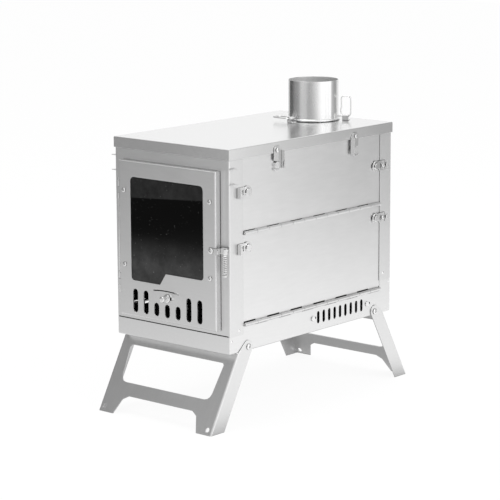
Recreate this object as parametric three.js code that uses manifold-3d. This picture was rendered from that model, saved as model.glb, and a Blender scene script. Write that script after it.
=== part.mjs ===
// Folding sheet-titanium tent stove, in millimetres: +Z up, front towards -Y, the origin on the ground
// under the middle of the body. The front and rear panels carry small latches that hook over round bosses
// on the hinged side panels; with the latches off, each side folds inwards on two rows of knuckles.
import * as THREE from 'three';
import { mergeVertices } from 'three/addons/utils/BufferGeometryUtils.js';
import Module from 'manifold-3d';

const wasm = await Module();
wasm.setup();

// ---- Driving dimensions ----
const WIDTH = 200; // over the side flanges of the front and rear panels
const LENGTH = 341; // face of the front panel to face of the rear panel
const STAND = 99; // ground to underside of the tray
const SHEET = 0.8; // body sheet
const GAP = 0.3; // between pieces that lie on each other
const PLAY = 0.4; // between sheet edges that pass each other
const BEND = 1.6; // outer radius of the sheet bends

// ---- Side walls: tray wall, lower panel and upper panel, joined by knuckles ----
const HINGE_RISE = 36; // tray underside to lower hinge axis
const LOWER_PANEL = 120; // lower hinge axis to middle hinge axis
const UPPER_PANEL = 110.3; // middle hinge axis to the top edge
const BOSS_HEIGHT = 4.4; // latch bosses, which lie between the folded panels
const BOSS_RADIUS = 4.5;
const BOSS_SHANK = 1.5; // radius of the shank that rivets a side boss to its panel
const KNUCKLE_RADIUS = 2.5;
const ROD_RADIUS = 1.1;
const KNUCKLES = 12; // in each row, taken in turn by the two panels
const LOW_NOTCH = 3.6; // sheet edge to the axis of the lower hinge
const MID_NOTCH = 2.8; // sheet edge to the axis of the middle hinge

// ---- Tray ----
const TRAY_FRONT = 23.4; // height of the front wall
const TRAY_REAR = 47; // height of the rear wall
const TRAY_EAR = 64; // top of the ears behind the rear flanges
const TRAY_EAR_LENGTH = 22.3;
const VENTS = 9; // in each side wall
const VENT_PITCH = 11.86;
const VENT_WIDTH = 5.5;
const VENT_FOOT = 9.7; // above the underside
const VENT_HEAD = 27.2;
const VENT_INSET = 111.65; // middle of the row to the face of the rear panel
const DAMPER_SCREW_MARGIN = 12; // beyond the middle of the last vent
const DAMPER_END = 6; // plate beyond its screws
const DAMPER_SCREW_RISE = 18.6;
const DAMPER_SCREW_RADIUS = 1.5;
const DAMPER_SCREW_HEAD = 3.4;

// ---- Front and rear panels ----
const FRONT_FLANGE = 27;
const REAR_FLANGE = 24.9;
const OPENING_LAP = 9; // fire door over each side of its opening
const OPENING_FOOT_LAP = 3.5;
const OPENING_HEAD_LAP = 7.3;
const OPENING_CORNER = 3;
const EAR_OUT = 7; // small ears that stand out from the front flanges
const EAR_LENGTH = 10.2;
const EAR_DROPS = [44.3, 24.3]; // below the top edge of the panel

// ---- Top plate and flue ----
const TOP_OVERHANG = 1.2;
const TOP_FLANGE = 14.5;
const FLUE_INSET = 47.5; // flue axis to the face of the rear panel
const PIPE_RADIUS = 35;
const COLLAR_HEIGHT = 55.9;
const COLLAR_BEAD = 1.5;
const COLLAR_BEAD_HEIGHT = 3.1;
const SPIGOT_RADIUS = 33.4;
const SPIGOT_DEPTH = 8.7; // below the underside of the bead
const CLIP_ANGLES = [26, 266]; // the two clips round the collar, from the right-hand side
const CLIP_START = 6.5; // clip barrel, out from the collar
const CLIP_LENGTH = 9;
const CLIP_FOOT = 8; // foot of the clip beside its barrel's axis
const WIRE_RADIUS = 1;
const CLIP_RISE = 6.1; // axis of the clip barrels over the top face
const BAIL_HEIGHT = 27;
const BAIL_BEND = 2.5; // reach of the loop's corners, on the wire's centre
const BAIL_OVERLAP = 4; // pin length inside the collar

// ---- Latches ----
const LEVER = 1; // lever sheet
const LATCH_REACH = 14.5; // pivot to boss
const LATCH_INSET = 20.5; // pivot to the face of the panel
const LATCH_RISES = [-19.6, 53.3]; // pivots over the middle hinge
const LATCH_TAIL = 5.5; // lever behind its pivot
const LATCH_SLOT = [3.9, 5.9];
const LATCH_SLOT_HALF = 3.3;
const LATCH_TAB = 6.2; // finger tab, out from the flange side of the lever
const LATCH_TAB_HALF = 6.75;
const LATCH_PIVOT_RADIUS = 1.6;
const LATCH_HEAD_RADIUS = 2.8;
const STUD_END = 0.4; // stud beyond the inside of its head
const BOSS_PLAY = 0.7; // boss to the hook round it
const HOOK_BAND = 2.4;
const MOUTH_TURN = 75; // sweep of the hook's mouth, in degrees round the pivot
const TOP_MOUTH_TURN = 65;
const TOP_LATCH_REACH = 19.5;
const TOP_LATCH_DROP = 10.9; // pivot below the top face
const TOP_LATCH_TAIL = 5; // lever beyond its pivot and beyond the boss
const TOP_LATCH_PLACES = [-78.5, 87.3];
const TOP_TAB_SIDE = 9.5;

// ---- Fire door ----
const DOOR_MARGIN = 15; // side of the stove to the edge of the door
const DOOR_FOOT = 31; // above the tray underside
const DOOR_DROP = 28; // head of the door below the top edge of the panel
const DOOR_PROUD = 10; // door face in front of the panel face
const DOOR_SEAT = 0.5; // flange edge of the door to the panel
const WINDOW_MARGIN = 21; // edge of the door to the side of its window
const WINDOW_FOOT = 79.5;
const WINDOW_DROP = 20.3; // head of the window below the head of the door
const WINDOW_STEP = 15.5; // raised stretch of the lower edge
const WINDOW_STEP_PLACES = [-12.5, -2];
const DOOR_VENTS = 7;
const DOOR_VENT_MARGIN = 28; // edge of the door to the middle of the first vent
const DOOR_VENT_WIDTH = 9;
const DOOR_VENT_FOOT = 36.4;
const DOOR_VENT_HEAD = 68.6;
const DOOR_VENT_LOW_HEAD = 54.8; // of the middle three
const KNOB_RISE = 63;
const KNOB_SHANK = 1.8;
const KNOB_RADIUS = 3.9;
const KNOB_NECK = 3.2;
const KNOB_WASHER = 5.5;
const KNOB_LENGTH = 11.2;
const BOW_RISE = 71.5; // middle of the curved slot over the knob
const BOW_PLACE = -1.9;
const BOW_WIDTH = 1.5;
const BOW_RADIUS = 170;
const BOW_TURN = 7.6; // each side of its middle, in degrees
const GUIDE_INSET = 5; // edge of the door to the damper's guides
const GUIDE_LENGTH = 50;
const GUIDE_LAP = 1.9;
const DAMPER_RISE = 2; // foot of the door damper above the foot of the door
const DAMPER_LAP = 4.5; // right end of the door damper beyond the last vent
const GLASS_THICKNESS = 3;
const GLASS_LAP = 6;
const GLASS_FOOT_LAP = 5.5;
const RETAINER_BAND = 7;
const DOOR_AXIS_OUT = 3.5; // hinge axis beside the door's edge
const DOOR_AXIS_PROUD = 6; // and in front of the panel face
const DOOR_HINGE_INSETS = [43, 40.3]; // from the foot and from the head of the door
const DOOR_BARREL = 24;
const DOOR_LEAF = 6; // hinge leaf along the panel
const DOOR_PIN_END = 3;
const DOOR_SCREW_OUT = 5.5; // beside the glass
const DOOR_SCREW_EDGE = 4.5; // retainer beyond its screws
const DOOR_SCREW_INSETS = [20, 19]; // from the foot and from the head of the window
const DOOR_SCREW_RADIUS = 1.4;
const DOOR_SCREW_HEAD = 3.2;
const SCREW_HEAD_HEIGHT = 1.5;

// ---- Door latch ----
const DOOR_LATCH_INSET = 6.7; // pivot screw to the edge of the door
const DOOR_LATCH_RISE = 136;
const CATCH_INSET = 3.5; // plain pin on the front panel, to the side of the stove
const CATCH_RISE = 137;
const CATCH_RADIUS = 1.8;
const CATCH_PROUD = 5.3;
const CATCH_PLAY = 0.9; // pin to the hook over it
const GRIP_PROUD = 9.3; // grip axis in front of the panel face
const GRIP_LENGTH = 25.2;
const GRIP_RADIUS = 2.9; // of the coil's wire centre
const GRIP_WIRE = 0.6;
const GRIP_TURNS = 10;
const GRIP_STEM = 1;
const LATCH_MOUTH_TURN = 40; // sweep of the door latch's mouth, in degrees
const GRIP_WIRE_SIDES = 5;
const LATCH_STRIP = [-3.5, 3.7]; // foot and head of the lever, from its pivot
const LATCH_JOGGLE = 3; // edge of the door to the step in the lever

// ---- Legs ----
const LEG_SHEET = 1.2;
const LEG_INSET = 35.8; // pivot behind the panel face
const LEG_RISE = 5.3; // pivot above the tray underside
const LEG_LEAN = 29.1;
const LEG_WEB = 15.1; // pivot to the outer face of the web
const LEG_WEB_TOP = 15; // pivot down to the upper edge of the web, along the leg
const LEG_FLANGE = 23.1;
const LEG_HEEL = 8; // radius round the pivot
const LEG_SCREW_RADIUS = 1.6;
const LEG_SCREW_HEAD = 4;
const LEG_WINDOW = { drop: 15.7, side: 15.7, taper: 4.5, rise: 45.3 }; // between the web's edges
const LEG_ARCH = { side: 42.2, rise: 27.3, shoulder: 21.8, flare: 9, foot: 15.2 };
const FOOT_HOLE_INSET = 7.5;
const FOOT_HOLE_RISE = 7.4;
const FOOT_HOLE_RADIUS = 3.3;

// ---- Grate ----
const GRATE_MARGIN = 12; // side of the stove to the grate
const GRATE_END = 20.5; // face of the panels to the grate
const GRATE_RISE = 28.2;
const GRATE_COLUMNS = 7;
const GRATE_SLOT = 8;
const GRATE_RIB = 20; // between the rows of slots, and at each end
const GRATE_FOOT = 18;

// ---- Places that follow from the dimensions above ----
const FRONT = -LENGTH / 2;
const REAR = LENGTH / 2;
const FLANGE_OUT = WIDTH / 2;
const FLANGE_IN = FLANGE_OUT - SHEET;
const WALL_OUT = FLANGE_IN - GAP;
const WALL_IN = WALL_OUT - SHEET;
const AXIS_OFFSET = (BOSS_HEIGHT + PLAY) / 2; // hinge axes stand outside the walls
const AXIS_X = WALL_OUT + AXIS_OFFSET;
const LOW_AXIS = STAND + HINGE_RISE;
const MID_AXIS = LOW_AXIS + LOWER_PANEL;
const WALL_TOP = LOW_AXIS - LOW_NOTCH - 0.1;
const PANEL_TOP = MID_AXIS + UPPER_PANEL;
const TOP_FACE = PANEL_TOP + GAP + SHEET;
const TOP_HALF = FLANGE_OUT + TOP_OVERHANG;
const FLUE_BACK = REAR - FLUE_INSET;
const VENT_MIDDLE = REAR - VENT_INSET;
const SHEET_FRONT = FRONT + SHEET + PLAY;
const SHEET_REAR = REAR - SHEET - PLAY;
const ROW_FRONT = FRONT + FRONT_FLANGE + 0.5;
const ROW_REAR = REAR - REAR_FLANGE - 0.6;
const KNUCKLE_PITCH = (ROW_REAR - ROW_FRONT) / KNUCKLES;
const BORE_RADIUS = ROD_RADIUS + GAP;
const BEAD_FOOT = TOP_FACE + GAP;
const CLIP_AXIS = TOP_FACE + CLIP_RISE;
const SIDE_LEVER_X = FLANGE_OUT + GAP;
const TOP_LEVER_X = TOP_HALF + GAP;
const HOOK_RADIUS = BOSS_RADIUS + BOSS_PLAY;
const SIDE_LATCH_RISES = LATCH_RISES.map((rise) => MID_AXIS + rise);
const TOP_LATCH_AXIS = TOP_FACE - TOP_LATCH_DROP;
const TOP_BOSS = TOP_LATCH_AXIS - TOP_LATCH_REACH;
const BOSS_INSET = LATCH_INSET + LATCH_REACH;
const DOOR_HALF = WIDTH / 2 - DOOR_MARGIN;
const DOOR_SILL = STAND + DOOR_FOOT;
const DOOR_HEAD = PANEL_TOP - DOOR_DROP;
const WINDOW_SIDE = DOOR_HALF - WINDOW_MARGIN;
const WINDOW_SILL = STAND + WINDOW_FOOT;
const WINDOW_HEAD = DOOR_HEAD - WINDOW_DROP;
const DOOR_VENT_PITCH = (2 * (DOOR_HALF - DOOR_VENT_MARGIN)) / (DOOR_VENTS - 1);
const DOOR_VENT_END = DOOR_HALF - DOOR_VENT_MARGIN + DOOR_VENT_WIDTH / 2;
const DOOR_HINGE_RISES = [DOOR_SILL + DOOR_HINGE_INSETS[0], DOOR_HEAD - DOOR_HINGE_INSETS[1]];
const DOOR_SCREW_SIDE = WINDOW_SIDE + GLASS_LAP + DOOR_SCREW_OUT;
const DOOR_SCREW_RISES = [WINDOW_SILL + DOOR_SCREW_INSETS[0], WINDOW_HEAD - DOOR_SCREW_INSETS[1]];
const DOOR_LATCH_X = DOOR_HALF - DOOR_LATCH_INSET;
const DOOR_LATCH_Z = STAND + DOOR_LATCH_RISE;
const CATCH_X = FLANGE_OUT - CATCH_INSET;
const CATCH_Z = STAND + CATCH_RISE;
const DOOR_FACE = FRONT - DOOR_PROUD;
const DOOR_INSIDE = DOOR_FACE + SHEET;
const DOOR_AXIS_X = -DOOR_HALF - DOOR_AXIS_OUT;
const DOOR_AXIS_Y = FRONT - DOOR_AXIS_PROUD;
const DAMPER_BACK = DOOR_INSIDE + GAP + SHEET;
const GLASS_FRONT = DOOR_INSIDE + GAP;
const GLASS_BACK = GLASS_FRONT + GLASS_THICKNESS;
const DAMPER_SCREW_BORE = DAMPER_SCREW_RADIUS + GAP;
const DAMPER_SCREW_REACH = (VENT_PITCH * (VENTS - 1)) / 2 + DAMPER_SCREW_MARGIN;
const SIDE_TRAVEL = VENT_PITCH / 2;
const DOOR_TRAVEL = DOOR_VENT_PITCH / 2;
const LEG_Y = FRONT + LEG_INSET;
const LEG_Z = STAND + LEG_RISE;

// ---- Materials ----
const titanium = (colour, roughness) => new THREE.MeshStandardMaterial({
  color: colour,
  roughness,
  metalness: 0.9,
});
const BODY = titanium('#a9a9a9', 0.42);
const SIDE = titanium('#c4c4c4', 0.38);
const TOP = titanium('#c9c9c9', 0.3);
const LEG = titanium('#b2b2b2', 0.4);
const SMALL = titanium('#8f8f8f', 0.35);
const FIXING = titanium('#d8d8d8', 0.25);
const GLASS = new THREE.MeshStandardMaterial({ color: '#1d1d1d', roughness: 0.06, metalness: 0 });

// ---- Outlines ----
const turnOf = THREE.MathUtils.degToRad;

// Points round a closed outline whose corners are [u, v] or [u, v, radius].
function outline(corners, step = 30) {
  const points = [];
  const spot = (i) => new THREE.Vector2(...corners.at(i % corners.length).slice(0, 2));
  corners.forEach(([, , radius = 0], i) => {
    const here = spot(i);
    if (radius <= 0) {
      points.push(here);
      return;
    }
    const back = spot(i - 1 + corners.length).sub(here).normalize();
    const ahead = spot(i + 1).sub(here).normalize();
    const half = Math.acos(THREE.MathUtils.clamp(back.dot(ahead), -1, 1)) / 2;
    const centre = back.clone().add(ahead).normalize().multiplyScalar(radius / Math.sin(half)).add(here);
    const first = back.multiplyScalar(radius / Math.tan(half)).add(here).sub(centre);
    const last = ahead.multiplyScalar(radius / Math.tan(half)).add(here).sub(centre);
    const sweep = Math.atan2(first.cross(last), first.dot(last));
    const steps = Math.max(1, Math.ceil(Math.abs(sweep) / turnOf(step)));
    for (let k = 0; k <= steps; k += 1) {
      points.push(first.clone().rotateAround(new THREE.Vector2(), (sweep * k) / steps).add(centre));
    }
  });
  return points;
}

// Points of an arc round [u, v], from one angle to the other in degrees.
function arc(u, v, radius, from, to, steps) {
  return Array.from({ length: steps + 1 }, (_, k) => {
    const angle = turnOf(from + ((to - from) * k) / steps);
    return new THREE.Vector2(u + radius * Math.cos(angle), v + radius * Math.sin(angle));
  });
}

const box = (u0, v0, u1, v1, radius = 0, step = 30) =>
  outline([[u0, v0, radius], [u1, v0, radius], [u1, v1, radius], [u0, v1, radius]], step);
const circle = (u, v, radius, sides = 12) => arc(u, v, radius, 180 / sides, 360 - 180 / sides, sides - 1);

// A slot with round ends across its shorter way, each in a few steps.
function slot(u0, v0, u1, v1, steps = 3) {
  const [du, dv] = [u1 - u0, v1 - v0];
  if (dv > du) {
    const radius = du / 2;
    const head = arc(u0 + radius, v1 - radius, radius, 0, 180, steps);
    return [...head, ...arc(u0 + radius, v0 + radius, radius, 180, 360, steps)];
  }
  const radius = dv / 2;
  const end = arc(u1 - radius, v0 + radius, radius, -90, 90, steps);
  return [...end, ...arc(u0 + radius, v0 + radius, radius, 90, 270, steps)];
}

// ---- Solids ----
function solid(geometry) {
  const bare = geometry.clone();
  bare.deleteAttribute('normal');
  bare.deleteAttribute('uv');
  const merged = mergeVertices(bare, 1e-4);
  return new wasm.Manifold(new wasm.Mesh({
    numProp: 3,
    vertProperties: merged.attributes.position.array,
    triVerts: new Uint32Array(merged.index.array),
  }));
}

// An outline drawn in the plane across an axis (y-z, x-z or x-y), pushed from one place to the other.
function slab(axis, points, from, to, holes = []) {
  const shape = new THREE.Shape(points);
  shape.holes = holes.map((hole) => new THREE.Path(hole));
  const geometry = new THREE.ExtrudeGeometry(shape, { depth: to - from, bevelEnabled: false });
  const [X, Y, Z] = [[1, 0, 0], [0, 1, 0], [0, 0, 1]].map((way) => new THREE.Vector3(...way));
  const bases = { x: [Y, Z, X], y: [X, Z, Y.clone().negate()], z: [X, Y, Z] };
  geometry.translate(0, 0, axis === 'y' ? -to : from);
  geometry.applyMatrix4(new THREE.Matrix4().makeBasis(...bases[axis]));
  return solid(geometry);
}

const join = (...bodies) => bodies.flat().reduce((sum, body) => sum.add(body));
const cut = (body, ...tools) => body.subtract(join(...tools));
const bothSides = (body) => join(body, body.mirror([1, 0, 0]));

// A folded pan: floor at z = 0, walls upwards, every bend rounded.
function pan(half, y0, y1, height) {
  const block = (inset, rise, radius) => {
    const u = half - inset;
    const wide = outline([[-u, rise, radius], [u, rise, radius], [u, height + inset], [-u, height + inset]]);
    const ends = [[y0 + inset, rise, radius], [y1 - inset, rise, radius]];
    const long = outline([...ends, [y1 - inset, height + inset], [y0 + inset, height + inset]]);
    return slab('y', wide, y0 + inset, y1 - inset).intersect(slab('x', long, -u, u));
  };
  return cut(block(0, 0, BEND), block(SHEET, SHEET, BEND - SHEET));
}

// One knuckle of a row: a leaf that curls round the rod, on the outer side of a right-hand panel.
// way is 1 where the leaf goes up from the axis and -1 where it goes down.
function knuckle(way, reach, y0, y1) {
  const leafOut = -AXIS_OFFSET;
  const leafIn = -AXIS_OFFSET - SHEET;
  const curl = [
    [leafIn, way * reach],
    [leafIn, way * 0.1 * KNUCKLE_RADIUS],
    [-0.7 * KNUCKLE_RADIUS, -way * 0.6 * KNUCKLE_RADIUS],
    [0, 0],
    [0, way * 0.8 * KNUCKLE_RADIUS],
    [leafOut, way * 0.8 * KNUCKLE_RADIUS],
    [leafOut, way * reach],
  ];
  const leaf = slab('y', outline(curl), y0, y1);
  const barrel = slab('y', circle(0, 0, KNUCKLE_RADIUS, 10), y0, y1);
  const bore = slab('y', circle(0, 0, BORE_RADIUS, 6), y0 - 1, y1 + 1);
  return cut(join(leaf, barrel), bore);
}

// Every second knuckle of a row, first or second in turn, with its axis at height z.
function knuckles(first, way, notch, z) {
  const row = [];
  for (let i = first; i < KNUCKLES; i += 2) {
    const y0 = ROW_FRONT + i * KNUCKLE_PITCH + GAP;
    row.push(knuckle(way, notch + SHEET, y0, y0 + KNUCKLE_PITCH - 2 * GAP));
  }
  return join(row).translate([AXIS_X, 0, z]);
}

// A round pin along X, Y or Z, between two places on that axis, centred on the other two.
function pin(axis, radius, from, to, sides = 10) {
  return slab(axis, circle(0, 0, radius, sides), from, to);
}

// Holes in a side panel for the shanks of its front and rear boss.
const bossHoles = (z) =>
  [FRONT + BOSS_INSET, REAR - BOSS_INSET].map((y) => circle(y, z, BOSS_SHANK + GAP, 8));

// ---- Scene ----
const stove = new THREE.Group();

function add(name, body, material, place = [0, 0, 0]) {
  const { vertProperties, triVerts } = body.getMesh();
  const geometry = new THREE.BufferGeometry();
  geometry.setAttribute('position', new THREE.BufferAttribute(vertProperties, 3));
  geometry.setIndex(new THREE.BufferAttribute(triVerts, 1));
  geometry.computeVertexNormals();
  const mesh = new THREE.Mesh(geometry, material);
  mesh.name = name;
  mesh.position.set(...place);
  stove.add(mesh);
}

const SIDES = [['right', 1], ['left', -1]];
const ENDS = [['front', -1], ['rear', 1]];
const sided = (body, side) => (side > 0 ? body : body.mirror([1, 0, 0]));

// ---- Tray ----
const ventPlaces = Array.from({ length: VENTS }, (_, i) => VENT_MIDDLE + (i - (VENTS - 1) / 2) * VENT_PITCH);
const damperScrews = [-1, 1].map((way) => VENT_MIDDLE + way * DAMPER_SCREW_REACH);
const sideVents = ventPlaces.map((y) =>
  slot(y - VENT_WIDTH / 2, STAND + VENT_FOOT, y + VENT_WIDTH / 2, STAND + VENT_HEAD));

function tray() {
  const shell = pan(WALL_OUT, FRONT, REAR, TRAY_EAR).translate([0, 0, STAND]);
  const above = STAND + TRAY_EAR + 5;
  const rim = outline([
    [FRONT - 1, STAND + TRAY_FRONT],
    [SHEET_FRONT, STAND + TRAY_FRONT],
    [SHEET_FRONT, LOW_AXIS],
    [ROW_FRONT - PLAY, LOW_AXIS],
    [ROW_FRONT - PLAY, WALL_TOP],
    [SHEET_REAR - TRAY_EAR_LENGTH, WALL_TOP],
    [SHEET_REAR - TRAY_EAR_LENGTH, STAND + TRAY_EAR, 3],
    [SHEET_REAR, STAND + TRAY_EAR, 3],
    [SHEET_REAR, STAND + TRAY_REAR],
    [REAR + 1, STAND + TRAY_REAR],
    [REAR + 1, above],
    [FRONT - 1, above],
  ]);
  const screwZ = STAND + DAMPER_SCREW_RISE;
  const screwSlots = damperScrews.map((y) => slot(
    y - DAMPER_SCREW_BORE,
    screwZ - DAMPER_SCREW_BORE,
    y + SIDE_TRAVEL + DAMPER_SCREW_BORE,
    screwZ + DAMPER_SCREW_BORE,
  ));
  const legHoles = [LEG_Y, -LEG_Y].map((y) => circle(y, LEG_Z, LEG_SCREW_RADIUS + GAP));
  const across = [rim, ...sideVents, ...screwSlots, ...legHoles];
  const body = cut(shell, across.map((shape) => slab('x', shape, -WALL_OUT - 1, WALL_OUT + 1)));
  return join(body, bothSides(knuckles(0, -1, LOW_NOTCH, LOW_AXIS)));
}
add('bottom_tray', tray(), SIDE);

// ---- Front and rear panels ----
// A plate with a flange down each side, seen from above, pushed up from the tray to the top.
function panel(flange, z0) {
  const face = FRONT;
  const section = outline([
    [-FLANGE_OUT, face, BEND],
    [FLANGE_OUT, face, BEND],
    [FLANGE_OUT, face + flange],
    [FLANGE_IN, face + flange],
    [FLANGE_IN, face + SHEET, BEND - SHEET],
    [-FLANGE_IN, face + SHEET, BEND - SHEET],
    [-FLANGE_IN, face + flange],
    [-FLANGE_OUT, face + flange],
  ]);
  const stud = pin('x', LATCH_PIVOT_RADIUS, FLANGE_OUT - SHEET / 2, SIDE_LEVER_X + LEVER + GAP + STUD_END);
  const head = pin('x', LATCH_HEAD_RADIUS, SIDE_LEVER_X + LEVER + GAP, SIDE_LEVER_X + LEVER + GAP + SHEET);
  const studs = SIDE_LATCH_RISES.map((z) => join(stud, head).translate([0, FRONT + LATCH_INSET, z]));
  return join(slab('z', section, z0, PANEL_TOP), bothSides(join(studs)));
}

// Rolled barrel round the door's hinge axis, carried by a leaf that runs back or sideways to its plate.
function doorBarrel(leaf, z0, z1) {
  const barrel = slab('z', circle(0, 0, KNUCKLE_RADIUS), z0, z1);
  const bore = slab('z', circle(0, 0, BORE_RADIUS, 8), z0 - 1, z1 + 1);
  return cut(join(slab('z', leaf, z0, z1), barrel), bore).translate([DOOR_AXIS_X, DOOR_AXIS_Y, 0]);
}

// The three lengths of each door hinge: panel, door, panel.
function barrelSpans(z) {
  const third = DOOR_BARREL / 3;
  const starts = [-1.5, -0.5, 0.5].map((share) => z + share * third);
  return starts.map((z0) => [z0 + GAP / 2, z0 + third - GAP / 2]);
}

function frontPanel() {
  const body = panel(FRONT_FLANGE, STAND + TRAY_FRONT + GAP);
  const half = DOOR_HALF - OPENING_LAP;
  const [sill, lintel] = [DOOR_SILL + OPENING_FOOT_LAP, DOOR_HEAD - OPENING_HEAD_LAP];
  const opening = box(-half, sill, half, lintel, OPENING_CORNER);
  const ear = box(FLANGE_IN + SHEET / 4, FRONT + GAP, FLANGE_OUT + EAR_OUT, FRONT + GAP + EAR_LENGTH);
  const plate = slab('z', ear, -SHEET / 2, SHEET / 2);
  const ears = EAR_DROPS.map((drop) => plate.translate([0, 0, PANEL_TOP - drop]));
  const backLeaf = outline([
    [-KNUCKLE_RADIUS, 0],
    [-0.2 * KNUCKLE_RADIUS, 0],
    [-KNUCKLE_RADIUS + SHEET, 0.5 * KNUCKLE_RADIUS],
    [-KNUCKLE_RADIUS + SHEET, DOOR_AXIS_PROUD + SHEET / 4],
    [-KNUCKLE_RADIUS - DOOR_LEAF, DOOR_AXIS_PROUD + SHEET / 4],
    [-KNUCKLE_RADIUS - DOOR_LEAF, DOOR_AXIS_PROUD - SHEET],
    [-KNUCKLE_RADIUS, DOOR_AXIS_PROUD - SHEET],
  ]);
  const barrels = DOOR_HINGE_RISES.flatMap((z) => {
    const [lower, , upper] = barrelSpans(z);
    return [lower, upper].map(([z0, z1]) => doorBarrel(backLeaf, z0, z1));
  });
  const catchPin = pin('y', CATCH_RADIUS, FRONT - CATCH_PROUD, FRONT + SHEET / 2);
  return join(
    cut(body, slab('y', opening, FRONT - 1, FRONT + SHEET + 1)),
    bothSides(join(ears)),
    barrels,
    catchPin.translate([CATCH_X, 0, CATCH_Z]),
  );
}
add('front_panel', frontPanel(), BODY);
add('rear_panel', panel(REAR_FLANGE, STAND + TRAY_REAR + GAP).mirror([0, 1, 0]), BODY);

// ---- Top plate, flue collar and its wire clips ----
function topPlate() {
  const cover = pan(TOP_HALF, FRONT - TOP_OVERHANG, REAR + TOP_OVERHANG, TOP_FLANGE);
  const hole = slab('z', circle(0, FLUE_BACK, SPIGOT_RADIUS + PLAY, 32), -1, SHEET + 1);
  const plate = cut(cover, hole).mirror([0, 0, 1]).translate([0, 0, TOP_FACE]);
  const stud = pin('x', LATCH_PIVOT_RADIUS, TOP_HALF - SHEET / 2, TOP_LEVER_X + LEVER + GAP + STUD_END);
  const head = pin('x', LATCH_HEAD_RADIUS, TOP_LEVER_X + LEVER + GAP, TOP_LEVER_X + LEVER + GAP + SHEET);
  const studs = TOP_LATCH_PLACES.map((y) => join(stud, head).translate([0, y, TOP_LATCH_AXIS]));
  return join(plate, bothSides(join(studs)));
}
add('top_plate', topPlate(), TOP);

function collar() {
  const rim = BEAD_FOOT + COLLAR_HEIGHT;
  const profile = [
    [SPIGOT_RADIUS - SHEET, BEAD_FOOT - SPIGOT_DEPTH],
    [SPIGOT_RADIUS, BEAD_FOOT - SPIGOT_DEPTH],
    [SPIGOT_RADIUS, BEAD_FOOT],
    [PIPE_RADIUS + COLLAR_BEAD, BEAD_FOOT],
    [PIPE_RADIUS + COLLAR_BEAD, BEAD_FOOT + 0.8 * COLLAR_BEAD_HEIGHT],
    [PIPE_RADIUS + 0.6 * COLLAR_BEAD, BEAD_FOOT + COLLAR_BEAD_HEIGHT],
    [PIPE_RADIUS, BEAD_FOOT + COLLAR_BEAD_HEIGHT],
    [PIPE_RADIUS, rim],
    [PIPE_RADIUS - SHEET, rim],
    [PIPE_RADIUS - SHEET, BEAD_FOOT + SHEET],
    [SPIGOT_RADIUS - SHEET, BEAD_FOOT + SHEET],
  ];
  const points = [...profile, profile[0]].map(([r, z]) => new THREE.Vector2(r, z));
  const turned = new THREE.LatheGeometry(points, 32).rotateX(Math.PI / 2);
  const reach = PIPE_RADIUS + CLIP_START;
  const bore = pin('x', WIRE_RADIUS + PLAY, 0, reach);
  const bores = CLIP_ANGLES.map((angle) => bore.rotate([0, 0, angle]).translate([0, 0, CLIP_AXIS]));
  return cut(solid(turned), ...bores).translate([0, FLUE_BACK, 0]);
}
add('flue_collar', collar(), TOP);

// Clip bracket: a foot on the plate and a barrel that points at the collar's axis.
function clip() {
  const foot = BEAD_FOOT - CLIP_AXIS;
  const leaf = outline([
    [-KNUCKLE_RADIUS, 0.2 * KNUCKLE_RADIUS],
    [-KNUCKLE_RADIUS, foot],
    [CLIP_FOOT, foot],
    [CLIP_FOOT, foot + SHEET],
    [-KNUCKLE_RADIUS + SHEET, foot + SHEET],
    [-KNUCKLE_RADIUS + SHEET, -0.65 * KNUCKLE_RADIUS],
    [0, -0.7 * KNUCKLE_RADIUS],
    [0, 0.2 * KNUCKLE_RADIUS],
  ]);
  const start = PIPE_RADIUS + CLIP_START;
  const barrel = slab('x', circle(0, 0, KNUCKLE_RADIUS), start, start + CLIP_LENGTH);
  const bore = slab('x', circle(0, 0, WIRE_RADIUS + PLAY, 8), start - 1, start + CLIP_LENGTH + 1);
  return cut(join(slab('x', leaf, start, start + CLIP_LENGTH), barrel), bore);
}

// Wire bail: a pin along the barrel, and a tall loop that comes back over the barrel to its inner end.
function bail() {
  const start = PIPE_RADIUS + CLIP_START;
  const inner = start - PLAY - WIRE_RADIUS;
  const outer = start + CLIP_LENGTH + PLAY + 1.6 * WIRE_RADIUS;
  const corner = 0.3 * BAIL_BEND;
  const route = [
    [PIPE_RADIUS - SHEET - BAIL_OVERLAP, 0],
    [outer - BAIL_BEND, 0],
    [outer - corner, corner],
    [outer, BAIL_BEND],
    [outer, BAIL_HEIGHT - BAIL_BEND],
    [outer - corner, BAIL_HEIGHT - corner],
    [outer - BAIL_BEND, BAIL_HEIGHT],
    [inner + BAIL_BEND, BAIL_HEIGHT],
    [inner + corner, BAIL_HEIGHT - corner],
    [inner, BAIL_HEIGHT - BAIL_BEND],
    [inner, 0.5 * BAIL_HEIGHT],
    [inner - WIRE_RADIUS, 0.3 * BAIL_HEIGHT],
    [inner, 2.6 * WIRE_RADIUS],
  ];
  const centres = route.map(([out, up]) => new THREE.Vector3(out, 0, up));
  const path = new THREE.CatmullRomCurve3(centres, false, 'centripetal');
  const wire = new THREE.Shape(circle(0, 0, WIRE_RADIUS, 6));
  return solid(new THREE.ExtrudeGeometry(wire, { extrudePath: path, steps: 44, bevelEnabled: false }));
}

// The right-hand bail stands up, and the one in front of the collar lies over the plate.
for (const [name, side] of SIDES) {
  const way = side > 0 ? CLIP_ANGLES[0] : CLIP_ANGLES[1];
  const fold = side > 0 ? 0 : 90;
  const place = [0, FLUE_BACK, CLIP_AXIS];
  add(`collar_clip_${name}`, clip().rotate([0, 0, way]), SMALL, place);
  add(`bail_${name}`, bail().rotate([fold, 0, 0]).rotate([0, 0, way]), FIXING, place);
}

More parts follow.
